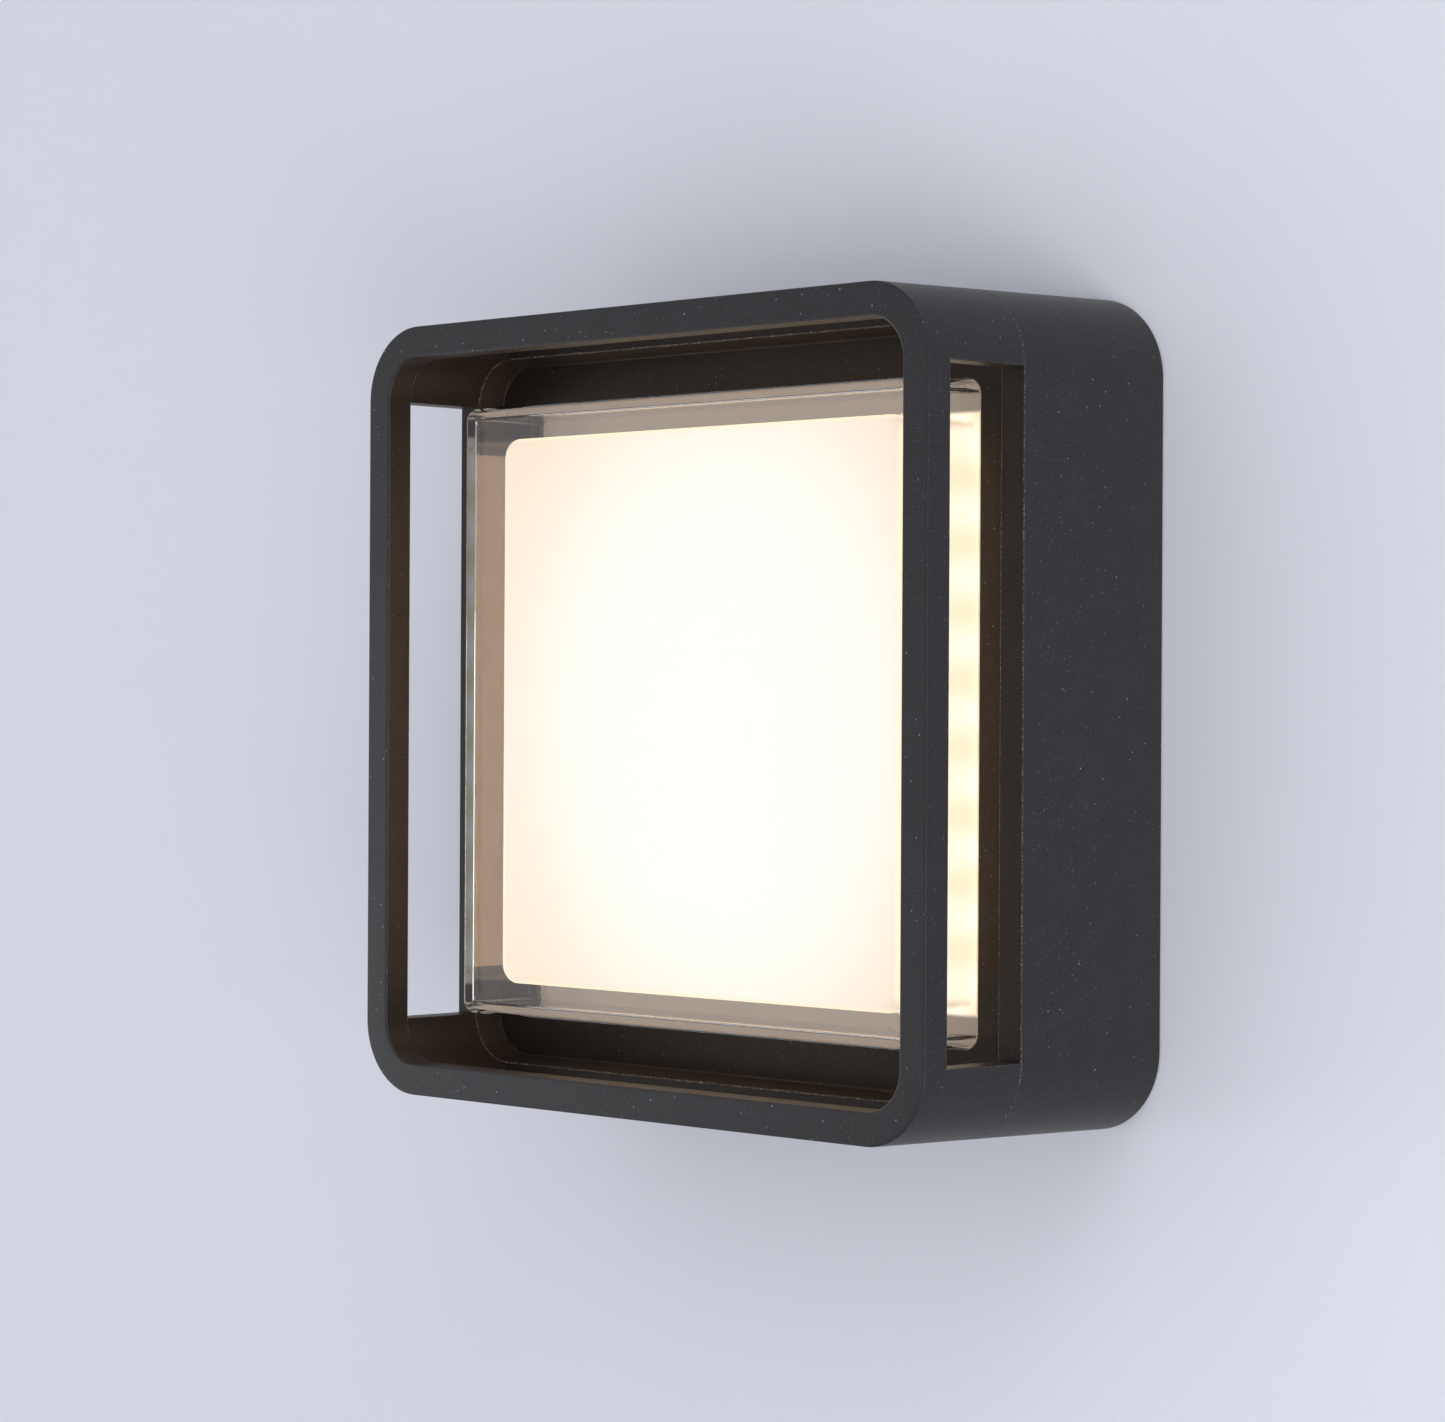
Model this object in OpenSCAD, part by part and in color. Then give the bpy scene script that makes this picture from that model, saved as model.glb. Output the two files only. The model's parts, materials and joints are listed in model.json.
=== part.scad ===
// Square outdoor wall lantern: a cast housing carries an open cage around a clear cover, an opal
// diffuser and an LED board, and the whole lamp slides onto a steel bracket on the wall.
// Every piece is drawn with its back towards the wall at z = 0 and its front towards +z, and is
// then turned once, so that the wall is the plane y = 0 and the lamp stands out along -y.

/* [Body] */
// Width and height of the cage at its front face
front_size = 200; // [180:1:240]
// Depth of the lamp, from the wall to the front face
lamp_depth = 82; // [70:1:100]
// Radius of the outer corners at the front face
corner_radius = 18.8; // [17:0.1:24]
// How much each side widens for each millimetre towards the wall
draft = 0.02; // [0.01:0.005:0.03]
// Depth of the rear housing, from the wall to the ledge that the cage stands on
housing_depth = 49.6; // [48:0.1:56]
// Wall of the rear housing beside its floor
housing_wall = 3.8; // [3.5:0.1:5]
// Width of the ledge round the mouth of the housing
ledge_width = 7.3; // [6.5:0.1:9]
// Depth from the ledge down to the floor that surrounds the clear cover
step_depth = 7.5; // [5:0.1:9]
// How far the step leans inwards on its way to the floor
step_lean = 1.45; // [0.5:0.05:2]
// Thickness of the floor
floor_thickness = 3; // [2.5:0.1:4]

/* [Cage] */
// Width of the front ring's bars, seen from the front
bar_width = 8.1; // [6:0.1:12]
// Depth of the front ring's bars
bar_depth = 7.5; // [5:0.1:12]
// Distance of the cage screws from the inner face of the pillars
frame_screw_edge = 3.05; // [2.8:0.05:3.4]

/* [Clear cover] */
// Distance from the side of the clear cover, at the floor, to the side of the front ring
cover_margin = 20.5; // [20:0.1:26]
// Height of the clear cover above the floor
cover_height = 24.8; // [20:0.1:30]
// Wall of the clear cover
cover_wall = 2.5; // [2:0.1:3]
// Radius of the clear cover's outer corners
cover_radius = 3.5; // [3.2:0.1:6]
// How much each side of the clear cover narrows for each millimetre towards the front
cover_draft = 0.016; // [0.01:0.002:0.03]
// Thickness of the clear cover's flange
cover_flange = 2.2; // [1.8:0.1:3]
// How far the flange reaches beyond the cover's side
flange_reach = 6.1; // [5:0.1:6.3]
// Gap between the clear cover and the edge of the floor's opening
cover_gap = 0.6; // [0.4:0.1:1]
// Thickness of the seal when it is clamped
seal_thickness = 1.7; // [1:0.1:2.5]

/* [Opal diffuser] */
// Distance from the side of the opal diffuser to the side of the clear cover
opal_margin = 8.3; // [6:0.1:12]
// Wall of the opal diffuser
opal_wall = 1.8; // [1.5:0.1:2.5]
// Gap between the fronts of the opal diffuser and the clear cover
opal_gap = 4.9; // [3:0.1:8]
// Radius of the opal diffuser's corners
opal_radius = 5; // [3:0.1:8]
// Thickness of the opal diffuser's flange
opal_flange = 1.2; // [1:0.1:1.8]

/* [Light source] */
// Number of LEDs along each side of the outer ring of LEDs
leds_per_side = 9; // [9:4:13]
// Thickness of the LED board
board_thickness = 1.6; // [1:0.1:2]
// Thickness of the tray that carries the LED board and the driver
tray_thickness = 2; // [1.5:0.1:3]

/* [Driver] */
// Length of the driver case
driver_length = 80; // [70:1:100]
// Width of the driver case
driver_width = 40; // [34:1:46]
// Height of the driver case, with its lid
driver_height = 16; // [14:0.5:17]

/* [Back] */
// Distance from the wall to the back cover
back_depth = 12; // [11:0.5:13]
// Thickness of the back cover
back_thickness = 1.5; // [1:0.1:2]
// Radius of the cable hole through the grommet
cable_radius = 4.2; // [3:0.1:5]
// Thickness of the wall bracket
bracket_thickness = 2; // [1.5:0.1:3]
// Width of the wall bracket
bracket_width = 90; // [80:1:110]
// Gap between the bracket's ears and the housing
bracket_gap = 0.35; // [0.3:0.05:0.6]
// Horizontal spacing of the wall screw slots
slot_spacing_x = 60; // [50:1:66]
// Vertical spacing of the wall screw slots
slot_spacing_z = 120; // [90:1:150]
// Length of a wall screw slot, end to end
slot_length = 14; // [10:1:18]
// Width of a wall screw slot
slot_width = 5; // [4:0.5:6]

/* [Screws] */
// Shank radius of the M3 screws
screw_radius = 1.5; // [1.4:0.05:1.6]
// Head radius of the M3 screws
head_radius = 2.75; // [2.6:0.05:2.8]
// Head height of the M3 screws
head_height = 2; // [1.6:0.1:2.1]
// Radius of the locking screws
lock_radius = 2; // [1.8:0.1:2.3]
// Radial gap round a screw in its hole
screw_gap = 0.05; // [0.03:0.01:0.1]

/* [Hidden] */
$fn = 48;

// Facets of the rounded blocks that taper
taper_facets = 48;
// How far a cut runs past the face that it opens
cut = 1;
// Clearance between a cast wall and a sheet part beside it
sheet_gap = 0.6;

// Half width of the square that joins the centres of the corner roundings
corner_span = front_size / 2 - corner_radius;
function outer_radius(depth) = corner_radius + draft * (lamp_depth - depth);
floor_front = housing_depth - step_depth;
floor_back = floor_front - floor_thickness;
ring_back = lamp_depth - bar_depth;
ring_inner_radius = corner_radius - bar_width;
ledge_inner_radius = outer_radius(housing_depth) - ledge_width;
step_inner_radius = ledge_inner_radius - step_lean;
cavity_radius = outer_radius(floor_back) - housing_wall;
cavity_half = corner_span + cavity_radius;

// Corner bosses of the cage, and their screws
frame_screw_place = corner_span + (ledge_inner_radius + frame_screw_edge) * sqrt(0.5);
frame_screw_length = 20;
thread_depth_extra = 0.6;
channel_gap = 0.25;
channel_radius = head_radius + channel_gap;

// The clamped stack behind the floor: seal, cover flange, opal flange, tray
seal_back = floor_back - seal_thickness;
cover_back = seal_back - cover_flange;
tray_front = cover_back - opal_flange;
tray_back = tray_front - tray_thickness;
cover_span = front_size / 2 - cover_margin - cover_radius;
function cover_outer_radius(depth) = cover_radius - cover_draft * (depth - floor_front);
cover_front = floor_front + cover_height;
flange_radius = cover_radius + flange_reach;
seal_inset = 0.4;
opening_radius = cover_radius + cover_gap;
opal_span = front_size / 2 - cover_margin - opal_margin - opal_radius;
opal_front = cover_front - cover_wall - opal_gap;

// Light source
leds_out = (leds_per_side - 1) / 2;
led_rings = [leds_out / 2, leds_out];
led_size = [2.8, 3.5, 0.8];
board_margin = 3.4;
board_gap = 0.8;
board_half = opal_span + opal_radius - opal_wall - board_gap;
led_pitch = (board_half - board_margin) / leds_out;
board_front = tray_front + board_thickness;
board_screw_place = (leds_out - 1) * led_pitch;

// Tray
tray_radius = cavity_radius - sheet_gap;
tray_boss_radius = 4;
tray_boss_gap = 0.9;
tray_boss_place = cover_span + flange_radius + tray_boss_radius + tray_boss_gap;
tray_boss_spread = 45;
tray_screw_length = 8;
wire_hole = [-57, 24];
wire_hole_radius = 3.2;
grommet_lip = 1;

// Driver, hung behind the tray in the upper half
// Height of the driver's centre above the row of LED board screws
driver_rise = 7;
driver_centre = [0, board_screw_place + driver_rise];
driver_wall = 1.6;
driver_ear = 8;
driver_back = tray_back - driver_height;
driver_screw_place = driver_length / 2 + driver_ear / 2;
driver_board_thickness = 1.6;
driver_standoff = 1.4;
driver_standoff_radius = 1.5;
driver_board_back = tray_back - driver_wall - driver_standoff - driver_board_thickness;
driver_board_gap = 1.2;
driver_wire_entry = 3;

// Components on the driver's circuit board
component_gap = 0.4;
transformer_x = 6;
transformer_size = [18, 20];
capacitor_place = [26, 6];
capacitor_radius = 4;
choke_place = [-12, 8];
choke_radius = 4.5;
rectifier_place = [-26, 8];
rectifier_size = [10, 6, 3];

// Terminal block, hung behind the tray in the lower half
terminal_centre = [-14, -48];
terminal_size = [34, 18, 14];
terminal_pitch = 10;
terminal_screw_radius = 1.6;
terminal_screw_sink = 1;
terminal_fixing_offset = 5;
earth_place = [34, -40];
lug_thickness = 0.8;
lug_barrel_radius = 1.6;
lug_barrel_length = 5;
lug_tongue = 7;
lug_tongue_width = 2;
lug_merge = 0.2;
earth_level = tray_back - lug_thickness - lug_barrel_radius + lug_merge;
terminal_fixing_floor = 2;
terminal_slot = [0.6, 1.2];
terminal_wire_entry = 4;
wire_radius = 1.1;
wire_depth = 8;
wire_level = tray_back - wire_depth;
earth_wire_drop = 8;
earth_wire_bend = 22;

// Back cover and its columns
back_front = back_depth + back_thickness;
column_radius = 4.5;
column_merge = 0.6;
column_place = [70, cavity_half - column_radius + column_merge];
column_screw_length = 10;
grommet_wall = 3.3;
grommet_flange = 2;
grommet_hole_radius = cable_radius + grommet_wall;
grommet_flange_radius = grommet_hole_radius + grommet_flange;
grommet_wall_end = back_depth - 2.5;
grommet_inner_flange = back_front + grommet_lip;
grommet_inner_end = back_front + 3;

// Wall bracket, locking screws and wall seal
bracket_half = cavity_half - bracket_gap;
ear_width = 60;
ear_depth = 9;
bracket_hole_radius = 15;
bracket_corner = 6;
lock_depth = 5.5;
lock_tip_gap = 0.1;
lock_recess = 0.3;
lock_tip = bracket_half + lock_tip_gap;
lock_end = corner_span + outer_radius(lock_depth) - lock_recess;
socket_radius = 1.15;
socket_depth = 2;
wall_seal_width = 2;
wall_seal_depth = 1.5;
wall_seal_lip = 1.3;

// Turns a piece drawn on the wall plane so that its front faces -y and its top faces +z
module on_wall() {
    rotate([90, 0, 0]) children();
}

// One copy in each corner of a rectangle
module at_corners(x, y) {
    for (sx = [-1, 1], sy = [-1, 1]) translate([sx * x, sy * y, 0]) children();
}

// Square outline with round corners of one radius about the corners of a square of half width span
module rounded_outline(span, radius) {
    square([2 * (span + radius), 2 * span], center = true);
    square([2 * span, 2 * (span + radius)], center = true);
    at_corners(span, span) circle(radius);
}

// Straight block with round corners, between two depths
module rounded_block(span, radius, from, to) {
    translate([0, 0, from]) linear_extrude(to - from) rounded_outline(span, radius);
}

// Block with round corners that tapers between two depths
module tapered_block(span, radius_from, radius_to, from, to) {
    hull()
        at_corners(span, span)
            translate([0, 0, from])
                cylinder(h = to - from, r1 = radius_from, r2 = radius_to, $fn = taper_facets);
}

// Straight rod along z, between two depths
module rod(radius, from, to) {
    translate([0, 0, from]) cylinder(h = to - from, r = radius);
}

// Pan head screw with a cross recess: the head sits behind the depth given, the shank in front
module pan_screw(seat, length) {
    difference() {
        union() {
            rod(head_radius, seat - head_height, seat);
            rod(screw_radius, seat - head_height / 2, seat + length);
        }
        for (turn = [0, 90])
            rotate([0, 0, turn])
                translate([0, 0, seat - head_height])
                    cube([head_radius, head_radius / 4, head_height], center = true);
    }
}

// The same screw with its head in front of the depth given
module front_screw(seat, length) {
    translate([0, 0, 2 * seat]) mirror([0, 0, 1]) pan_screw(seat, length);
}

// Hole for a screw shank, between two depths
module screw_hole(from, to) {
    rod(screw_radius + screw_gap, from, to);
}

// Round wire through a list of points
module wire(points) {
    for (i = [0 : len(points) - 2]) {
        run = points[i + 1] - points[i];
        length = norm(run);
        translate(points[i])
            rotate([0, acos(run.z / length), atan2(run.y, run.x)])
                cylinder(h = length, r = wire_radius, $fn = 24);
    }
    for (i = [1 : 1 : len(points) - 2]) translate(points[i]) sphere(wire_radius, $fn = 24);
}

// Places of the tray screws: two on each side of the cover's flange
module at_tray_screws() {
    at_corners(tray_boss_place, tray_boss_spread) children();
    at_corners(tray_boss_spread, tray_boss_place) children();
}

// Places of the LED board's screws: one in the middle and one in each quarter
module at_board_screws() {
    children();
    at_corners(board_screw_place, board_screw_place) children();
}

module at_driver_screws() {
    for (side = [-1, 1])
        translate([driver_centre.x + side * driver_screw_place, driver_centre.y, 0]) children();
}

module at_terminal_poles() {
    for (pole = [-1, 0, 1])
        translate([terminal_centre.x + pole * terminal_pitch, terminal_centre.y, 0]) children();
}

// Steel plate with slots for the wall screws and an ear at each end for the locking screws
module wall_bracket() {
    color("silver") on_wall() {
        difference() {
            union() {
                linear_extrude(bracket_thickness)
                    intersection() {
                        square([bracket_width, 2 * bracket_half], center = true);
                        union() {
                            square([bracket_width, 2 * (bracket_half - ear_depth)], center = true);
                            square([ear_width, 2 * bracket_half], center = true);
                            at_corners(ear_width / 2, bracket_half - ear_depth) circle(bracket_corner);
                        }
                    }
                for (side = [-1, 1])
                    translate([0, side * (bracket_half - bracket_thickness / 2), ear_depth / 2])
                        cube([ear_width, bracket_thickness, ear_depth], center = true);
            }
            rod(bracket_hole_radius, -cut, bracket_thickness + cut);
            at_corners(slot_spacing_x / 2, slot_spacing_z / 2) wall_slot();
        }
    }
}

// Cut for a slotted hole that runs sideways
module wall_slot() {
    straight = slot_length - slot_width;
    translate([-straight / 2, -slot_width / 2, -cut])
        cube([straight, slot_width, bracket_thickness + 2 * cut]);
    for (side = [-1, 1])
        translate([side * straight / 2, 0, 0])
            rod(slot_width / 2, -cut, bracket_thickness + cut);
}

// Foam cord in the groove of the housing's back rim
module wall_gasket() {
    seal_radius = outer_radius(0) - wall_seal_lip;
    color("dimgray") on_wall()
        difference() {
            rounded_block(corner_span, seal_radius, 0, wall_seal_depth);
            rounded_block(corner_span, seal_radius - wall_seal_width, -cut, wall_seal_depth + cut);
        }
}

// Cast body: drafted walls, ledge, leaning step and floor, with bosses on the back of the floor
module rear_housing() {
    seal_radius = outer_radius(0) - wall_seal_lip;
    color([0.21, 0.21, 0.23]) on_wall()
        difference() {
            union() {
                difference() {
                    tapered_block(corner_span, outer_radius(0), outer_radius(housing_depth), 0,
                        housing_depth);
                    rounded_block(corner_span, cavity_radius, -cut, floor_back);
                }
                at_tray_screws() rod(tray_boss_radius, tray_front, floor_back + cut);
                at_corners(column_place.x, column_place.y)
                    rod(column_radius, back_front, floor_back + cut);
            }
            tapered_block(corner_span, step_inner_radius, ledge_inner_radius + step_lean * cut / step_depth,
                floor_front, housing_depth + cut);
            rounded_block(cover_span, opening_radius, floor_back - cut, housing_depth);
            difference() {
                rounded_block(corner_span, seal_radius, -cut, wall_seal_depth);
                rounded_block(corner_span, seal_radius - wall_seal_width, -2 * cut, wall_seal_depth + cut);
            }
            at_tray_screws()
                screw_hole(tray_front - cut, tray_back + tray_screw_length + thread_depth_extra);
            at_corners(column_place.x, column_place.y)
                screw_hole(back_front - cut, back_depth + column_screw_length + thread_depth_extra);
            at_corners(frame_screw_place, frame_screw_place) {
                rod(channel_radius, -cut, floor_back);
                screw_hole(floor_back - cut, housing_depth + cut);
            }
            lock_bore();
        }
}

// Threaded holes for the locking screws, through the top and bottom walls
module lock_bore() {
    for (turn = [-90, 90])
        translate([0, 0, lock_depth])
            rotate([turn, 0, 0])
                rod(lock_radius + screw_gap, cavity_half - cut, cavity_half + housing_wall + 3 * cut);
}

// Open cage: a front ring on four corner pillars
module front_frame() {
    window = 2 * corner_span;
    color([0.22, 0.22, 0.24]) on_wall()
        difference() {
            tapered_block(corner_span, outer_radius(housing_depth), outer_radius(lamp_depth),
                housing_depth, lamp_depth);
            rounded_block(corner_span, ledge_inner_radius, housing_depth - cut, ring_back);
            rounded_block(corner_span, ring_inner_radius, ring_back - cut, lamp_depth + cut);
            for (turn = [0, 90])
                rotate([0, 0, turn])
                    translate([-front_size, -window / 2, housing_depth - cut])
                        cube([2 * front_size, window, ring_back - housing_depth + cut]);
            at_corners(frame_screw_place, frame_screw_place)
                screw_hole(housing_depth - cut, floor_back + frame_screw_length + thread_depth_extra);
        }
}

module frame_screws() {
    color("silver") on_wall()
        at_corners(frame_screw_place, frame_screw_place) pan_screw(floor_back, frame_screw_length);
}

// Clear box, open at the back, with a flange that is clamped behind the floor
module clear_cover() {
    inner = cover_outer_radius(cover_back) - cover_wall;
    inner_end = cover_outer_radius(cover_front) - cover_wall;
    color([0.85, 0.9, 0.92, 0.3]) on_wall()
        difference() {
            union() {
                tapered_block(cover_span, cover_outer_radius(cover_back), cover_outer_radius(cover_front),
                    cover_back, cover_front);
                rounded_block(cover_span, flange_radius, cover_back, seal_back);
            }
            tapered_block(cover_span, inner, inner_end, cover_back - cut / 100, cover_front - cover_wall);
        }
}

module cover_gasket() {
    color("black") on_wall()
        difference() {
            rounded_block(cover_span, flange_radius - seal_inset, seal_back, floor_back);
            rounded_block(cover_span, opening_radius + seal_inset, seal_back - cut, floor_back + cut);
        }
}

// Opal box, open at the back, with a flange under the clear cover's flange
module opal_diffuser() {
    color("ivory") on_wall()
        difference() {
            union() {
                rounded_block(opal_span, opal_radius, tray_front, opal_front);
                rounded_block(cover_span, flange_radius - seal_inset, tray_front, cover_back);
            }
            rounded_block(opal_span, opal_radius - opal_wall, tray_front - cut, opal_front - opal_wall);
        }
}

module led_board() {
    color("white") on_wall()
        difference() {
            rounded_block(board_half - board_margin, board_margin, tray_front, board_front);
            at_board_screws() screw_hole(tray_front - cut, board_front + cut);
            translate(wire_hole) rod(wire_hole_radius, tray_front - cut, board_front + cut);
        }
}

// Two square rings of LEDs
module led_chips() {
    color("gold") on_wall()
        for (i = [-leds_out : leds_out], j = [-leds_out : leds_out])
            if (len(search(max(abs(i), abs(j)), led_rings)) > 0)
                translate([i * led_pitch, j * led_pitch, board_front + led_size.z / 2])
                    cube(led_size, center = true);
}

module led_board_screws() {
    color("silver") on_wall()
        at_board_screws() front_screw(board_front, board_thickness + tray_thickness);
}

// Aluminium tray: the LED board on its front, the driver and terminals on its back
module gear_tray() {
    color("gainsboro") on_wall()
        difference() {
            rounded_block(corner_span, tray_radius, tray_back, tray_front);
            at_tray_screws() screw_hole(tray_back - cut, tray_front + cut);
            at_board_screws() screw_hole(tray_back - cut, tray_front + cut);
            at_corners(column_place.x, column_place.y)
                rod(column_radius + sheet_gap, tray_back - cut, tray_front + cut);
            at_driver_screws() screw_hole(tray_back - cut, tray_front + cut);
            translate(terminal_centre)
                translate([terminal_fixing_offset, 0, 0])
                    screw_hole(tray_back - cut, tray_front + cut);
            translate(earth_place) screw_hole(tray_back - cut, tray_front + cut);
            translate(wire_hole) rod(wire_hole_radius, tray_back - cut, tray_front + cut);
        }
}

module tray_screws() {
    color("silver") on_wall()
        at_tray_screws() pan_screw(tray_back, tray_screw_length);
}

// Rubber bush that lines the wire hole in the tray
module wire_grommet() {
    color("black") on_wall()
        translate(wire_hole)
            difference() {
                union() {
                    rod(wire_hole_radius + grommet_lip, tray_back - grommet_lip, tray_back);
                    rod(wire_hole_radius, tray_back, tray_front);
                }
                for (side = [-1, 1])
                    translate([side * (wire_radius + screw_gap), 0, 0])
                        rod(wire_radius, tray_back - 2 * cut, tray_front + cut);
            }
}

// Plastic driver case, open at the back, with an ear at each end
module driver_case() {
    shell = driver_height - driver_wall;
    color("whitesmoke") on_wall()
        translate(driver_centre)
            difference() {
                union() {
                    translate([-driver_length / 2, -driver_width / 2, tray_back - shell])
                        cube([driver_length, driver_width, shell]);
                    translate([-driver_length / 2 - driver_ear, -driver_ear, tray_back - driver_wall])
                        cube([driver_length + 2 * driver_ear, 2 * driver_ear, driver_wall]);
                }
                translate([-driver_length / 2 + driver_wall, -driver_width / 2 + driver_wall,
                    tray_back - shell - cut])
                    cube([driver_length - 2 * driver_wall, driver_width - 2 * driver_wall,
                        shell - driver_wall + cut]);
                for (side = [-1, 1])
                    translate([side * driver_screw_place, 0, 0])
                        screw_hole(tray_back - driver_wall - cut, tray_back + cut);
                at_driver_wires()
                    rotate([90, 0, 0])
                        rod(wire_radius, 0, driver_width);
                at_led_wires()
                    rotate([0, -90, 0])
                        rod(wire_radius, 0, driver_length);
            }
}

// Where the two mains wires enter the driver, on its lower side
module at_driver_wires() {
    for (pole = [0, 1])
        translate([terminal_centre.x + pole * terminal_pitch - driver_centre.x, 0, wire_level])
            children();
}

// Where the two LED wires leave the driver, on its left end
module at_led_wires() {
    for (side = [-1, 1])
        translate([0, side * (wire_radius + screw_gap), wire_level]) children();
}

module driver_lid() {
    color("lightgray") on_wall()
        translate(driver_centre)
            translate([-driver_length / 2, -driver_width / 2, driver_back])
                cube([driver_length, driver_width, driver_wall]);
}

// Circuit board on four stand-offs inside the driver case
module driver_board() {
    edge = driver_wall + driver_board_gap;
    board = [driver_length / 2 - edge, driver_width / 2 - edge];
    color("darkgreen") on_wall()
        translate(driver_centre) {
            translate([-board.x, -board.y, driver_board_back])
                cube([2 * board.x, 2 * board.y, driver_board_thickness]);
            at_corners(board.x - 2 * driver_standoff_radius, board.y - 2 * driver_standoff_radius)
                rod(driver_standoff_radius, driver_board_back, tray_back - driver_wall);
        }
}

// Transformer, capacitors and choke on the back of the driver's circuit board
module driver_components() {
    lowest = driver_back + driver_wall + component_gap;
    middle = (lowest + driver_board_back) / 2;
    color("orange") on_wall()
        translate(driver_centre) {
            translate([transformer_x, 0, middle])
                cube([transformer_size.x, transformer_size.y, driver_board_back - lowest], center = true);
            for (side = [-1, 1])
                translate([capacitor_place.x, side * capacitor_place.y, 0])
                    rod(capacitor_radius, lowest, driver_board_back);
            translate(choke_place) rod(choke_radius, middle, driver_board_back);
            translate([rectifier_place.x, rectifier_place.y, driver_board_back - rectifier_size.z / 2])
                cube(rectifier_size, center = true);
        }
}

module driver_screws() {
    color("silver") on_wall()
        at_driver_screws() pan_screw(tray_back - driver_wall, driver_wall + tray_thickness);
}

// Three-pole terminal block
module terminal_block() {
    back = tray_back - terminal_size.z;
    color("white") on_wall()
        difference() {
            translate([terminal_centre.x, terminal_centre.y, tray_back - terminal_size.z / 2])
                cube(terminal_size, center = true);
            at_terminal_poles() {
                translate([0, 0, wire_level])
                    rotate([90, 0, 0])
                        rod(wire_radius, -terminal_size.y, terminal_size.y);
                for (side = [-1, 1])
                    translate([0, side * terminal_size.y / 4, 0])
                        rod(terminal_screw_radius + screw_gap, back - cut, wire_level);
            }
            translate([terminal_centre.x + terminal_fixing_offset, terminal_centre.y, 0]) {
                screw_hole(back, tray_back + cut);
                rod(channel_radius, back - cut, tray_back - terminal_fixing_floor);
            }
        }
}

// Six clamp screws of the terminal block
module terminal_screws() {
    back = tray_back - terminal_size.z;
    color("goldenrod") on_wall()
        at_terminal_poles()
            for (side = [-1, 1])
                translate([0, side * terminal_size.y / 4, 0])
                    difference() {
                        rod(terminal_screw_radius, back + terminal_screw_sink, wire_level - wire_radius);
                        translate([0, 0, back + terminal_screw_sink])
                            cube([2 * terminal_screw_radius + cut, terminal_slot.x, terminal_slot.y],
                                center = true);
                    }
}

module terminal_fixing_screw() {
    color("silver") on_wall()
        translate([terminal_centre.x + terminal_fixing_offset, terminal_centre.y, 0])
            pan_screw(tray_back - terminal_fixing_floor, terminal_fixing_floor + tray_thickness);
}

// Ring of the earth lug, with the barrel that holds the wire
module earth_lug() {
    color("gold") on_wall()
        translate(earth_place)
            difference() {
                union() {
                    rod(head_radius + grommet_lip, tray_back - lug_thickness, tray_back);
                    translate([-lug_tongue, -lug_tongue_width / 2, tray_back - lug_thickness])
                        cube([lug_tongue, lug_tongue_width, lug_thickness]);
                    translate([-lug_tongue + cut, 0, earth_level])
                        rotate([0, -90, 0]) rod(lug_barrel_radius, 0, lug_barrel_length);
                }
                screw_hole(tray_back - cut, tray_back + cut);
                translate([-lug_tongue + 2 * cut, 0, earth_level])
                    rotate([0, -90, 0]) rod(wire_radius, 0, lug_barrel_length + 2 * cut);
            }
}

module earth_screw() {
    color("gold") on_wall()
        translate(earth_place) pan_screw(tray_back - lug_thickness, lug_thickness + tray_thickness);
}

// Live and neutral wires, from the terminal block up to the driver
module mains_wires() {
    start = terminal_centre.y + terminal_size.y / 2 - terminal_wire_entry;
    end = driver_centre.y - driver_width / 2 + driver_wall + driver_wire_entry;
    color("brown") on_wall()
        for (pole = [0, 1])
            translate([terminal_centre.x + pole * terminal_pitch, 0, wire_level])
                wire([[0, start, 0], [0, end, 0]]);
}

// Earth wire, from the terminal block to the earth lug
module earth_wire() {
    x = terminal_centre.x - terminal_pitch;
    y = terminal_centre.y - terminal_size.y / 2;
    low = y - earth_wire_drop;
    bend = earth_place.x - earth_wire_bend;
    end = earth_place.x - lug_tongue - cut;
    color("yellowgreen") on_wall()
        wire([[x, y + terminal_wire_entry, wire_level], [x, low, wire_level], [bend, low, earth_level],
            [bend, earth_place.y, earth_level], [end, earth_place.y, earth_level]]);
}

// Two LED wires, from the driver's left end through the tray to the LED board
module led_wires() {
    y = driver_centre.y;
    start = driver_centre.x - driver_length / 2 + driver_wall + driver_wire_entry;
    color("crimson") on_wall()
        for (side = [-1, 1]) {
            offset = side * (wire_radius + screw_gap);
            wire([[start, y + offset, wire_level],
                [wire_hole.x - offset, y + offset, wire_level],
                [wire_hole.x - offset, wire_hole.y, wire_level],
                [wire_hole.x - offset, wire_hole.y, board_front]]);
        }
}

// Sheet cover that closes the back of the housing behind the driver
module back_cover() {
    color("darkgray") on_wall()
        difference() {
            rounded_block(corner_span, tray_radius, back_depth, back_front);
            rod(grommet_hole_radius, back_depth - cut, back_front + cut);
            at_corners(column_place.x, column_place.y)
                screw_hole(back_depth - cut, back_front + cut);
        }
}

module back_cover_screws() {
    color("silver") on_wall()
        at_corners(column_place.x, column_place.y) pan_screw(back_depth, column_screw_length);
}

// Rubber cable inlet in the middle of the back cover
module cable_grommet() {
    color("black") on_wall()
        difference() {
            union() {
                rod(grommet_flange_radius, grommet_wall_end, back_depth);
                rod(grommet_hole_radius, back_depth, back_front);
                rod(grommet_flange_radius, back_front, grommet_inner_flange);
                rod(grommet_hole_radius - grommet_lip, grommet_inner_flange, grommet_inner_end);
            }
            rod(cable_radius, grommet_wall_end - cut, grommet_inner_end + cut);
        }
}

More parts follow.
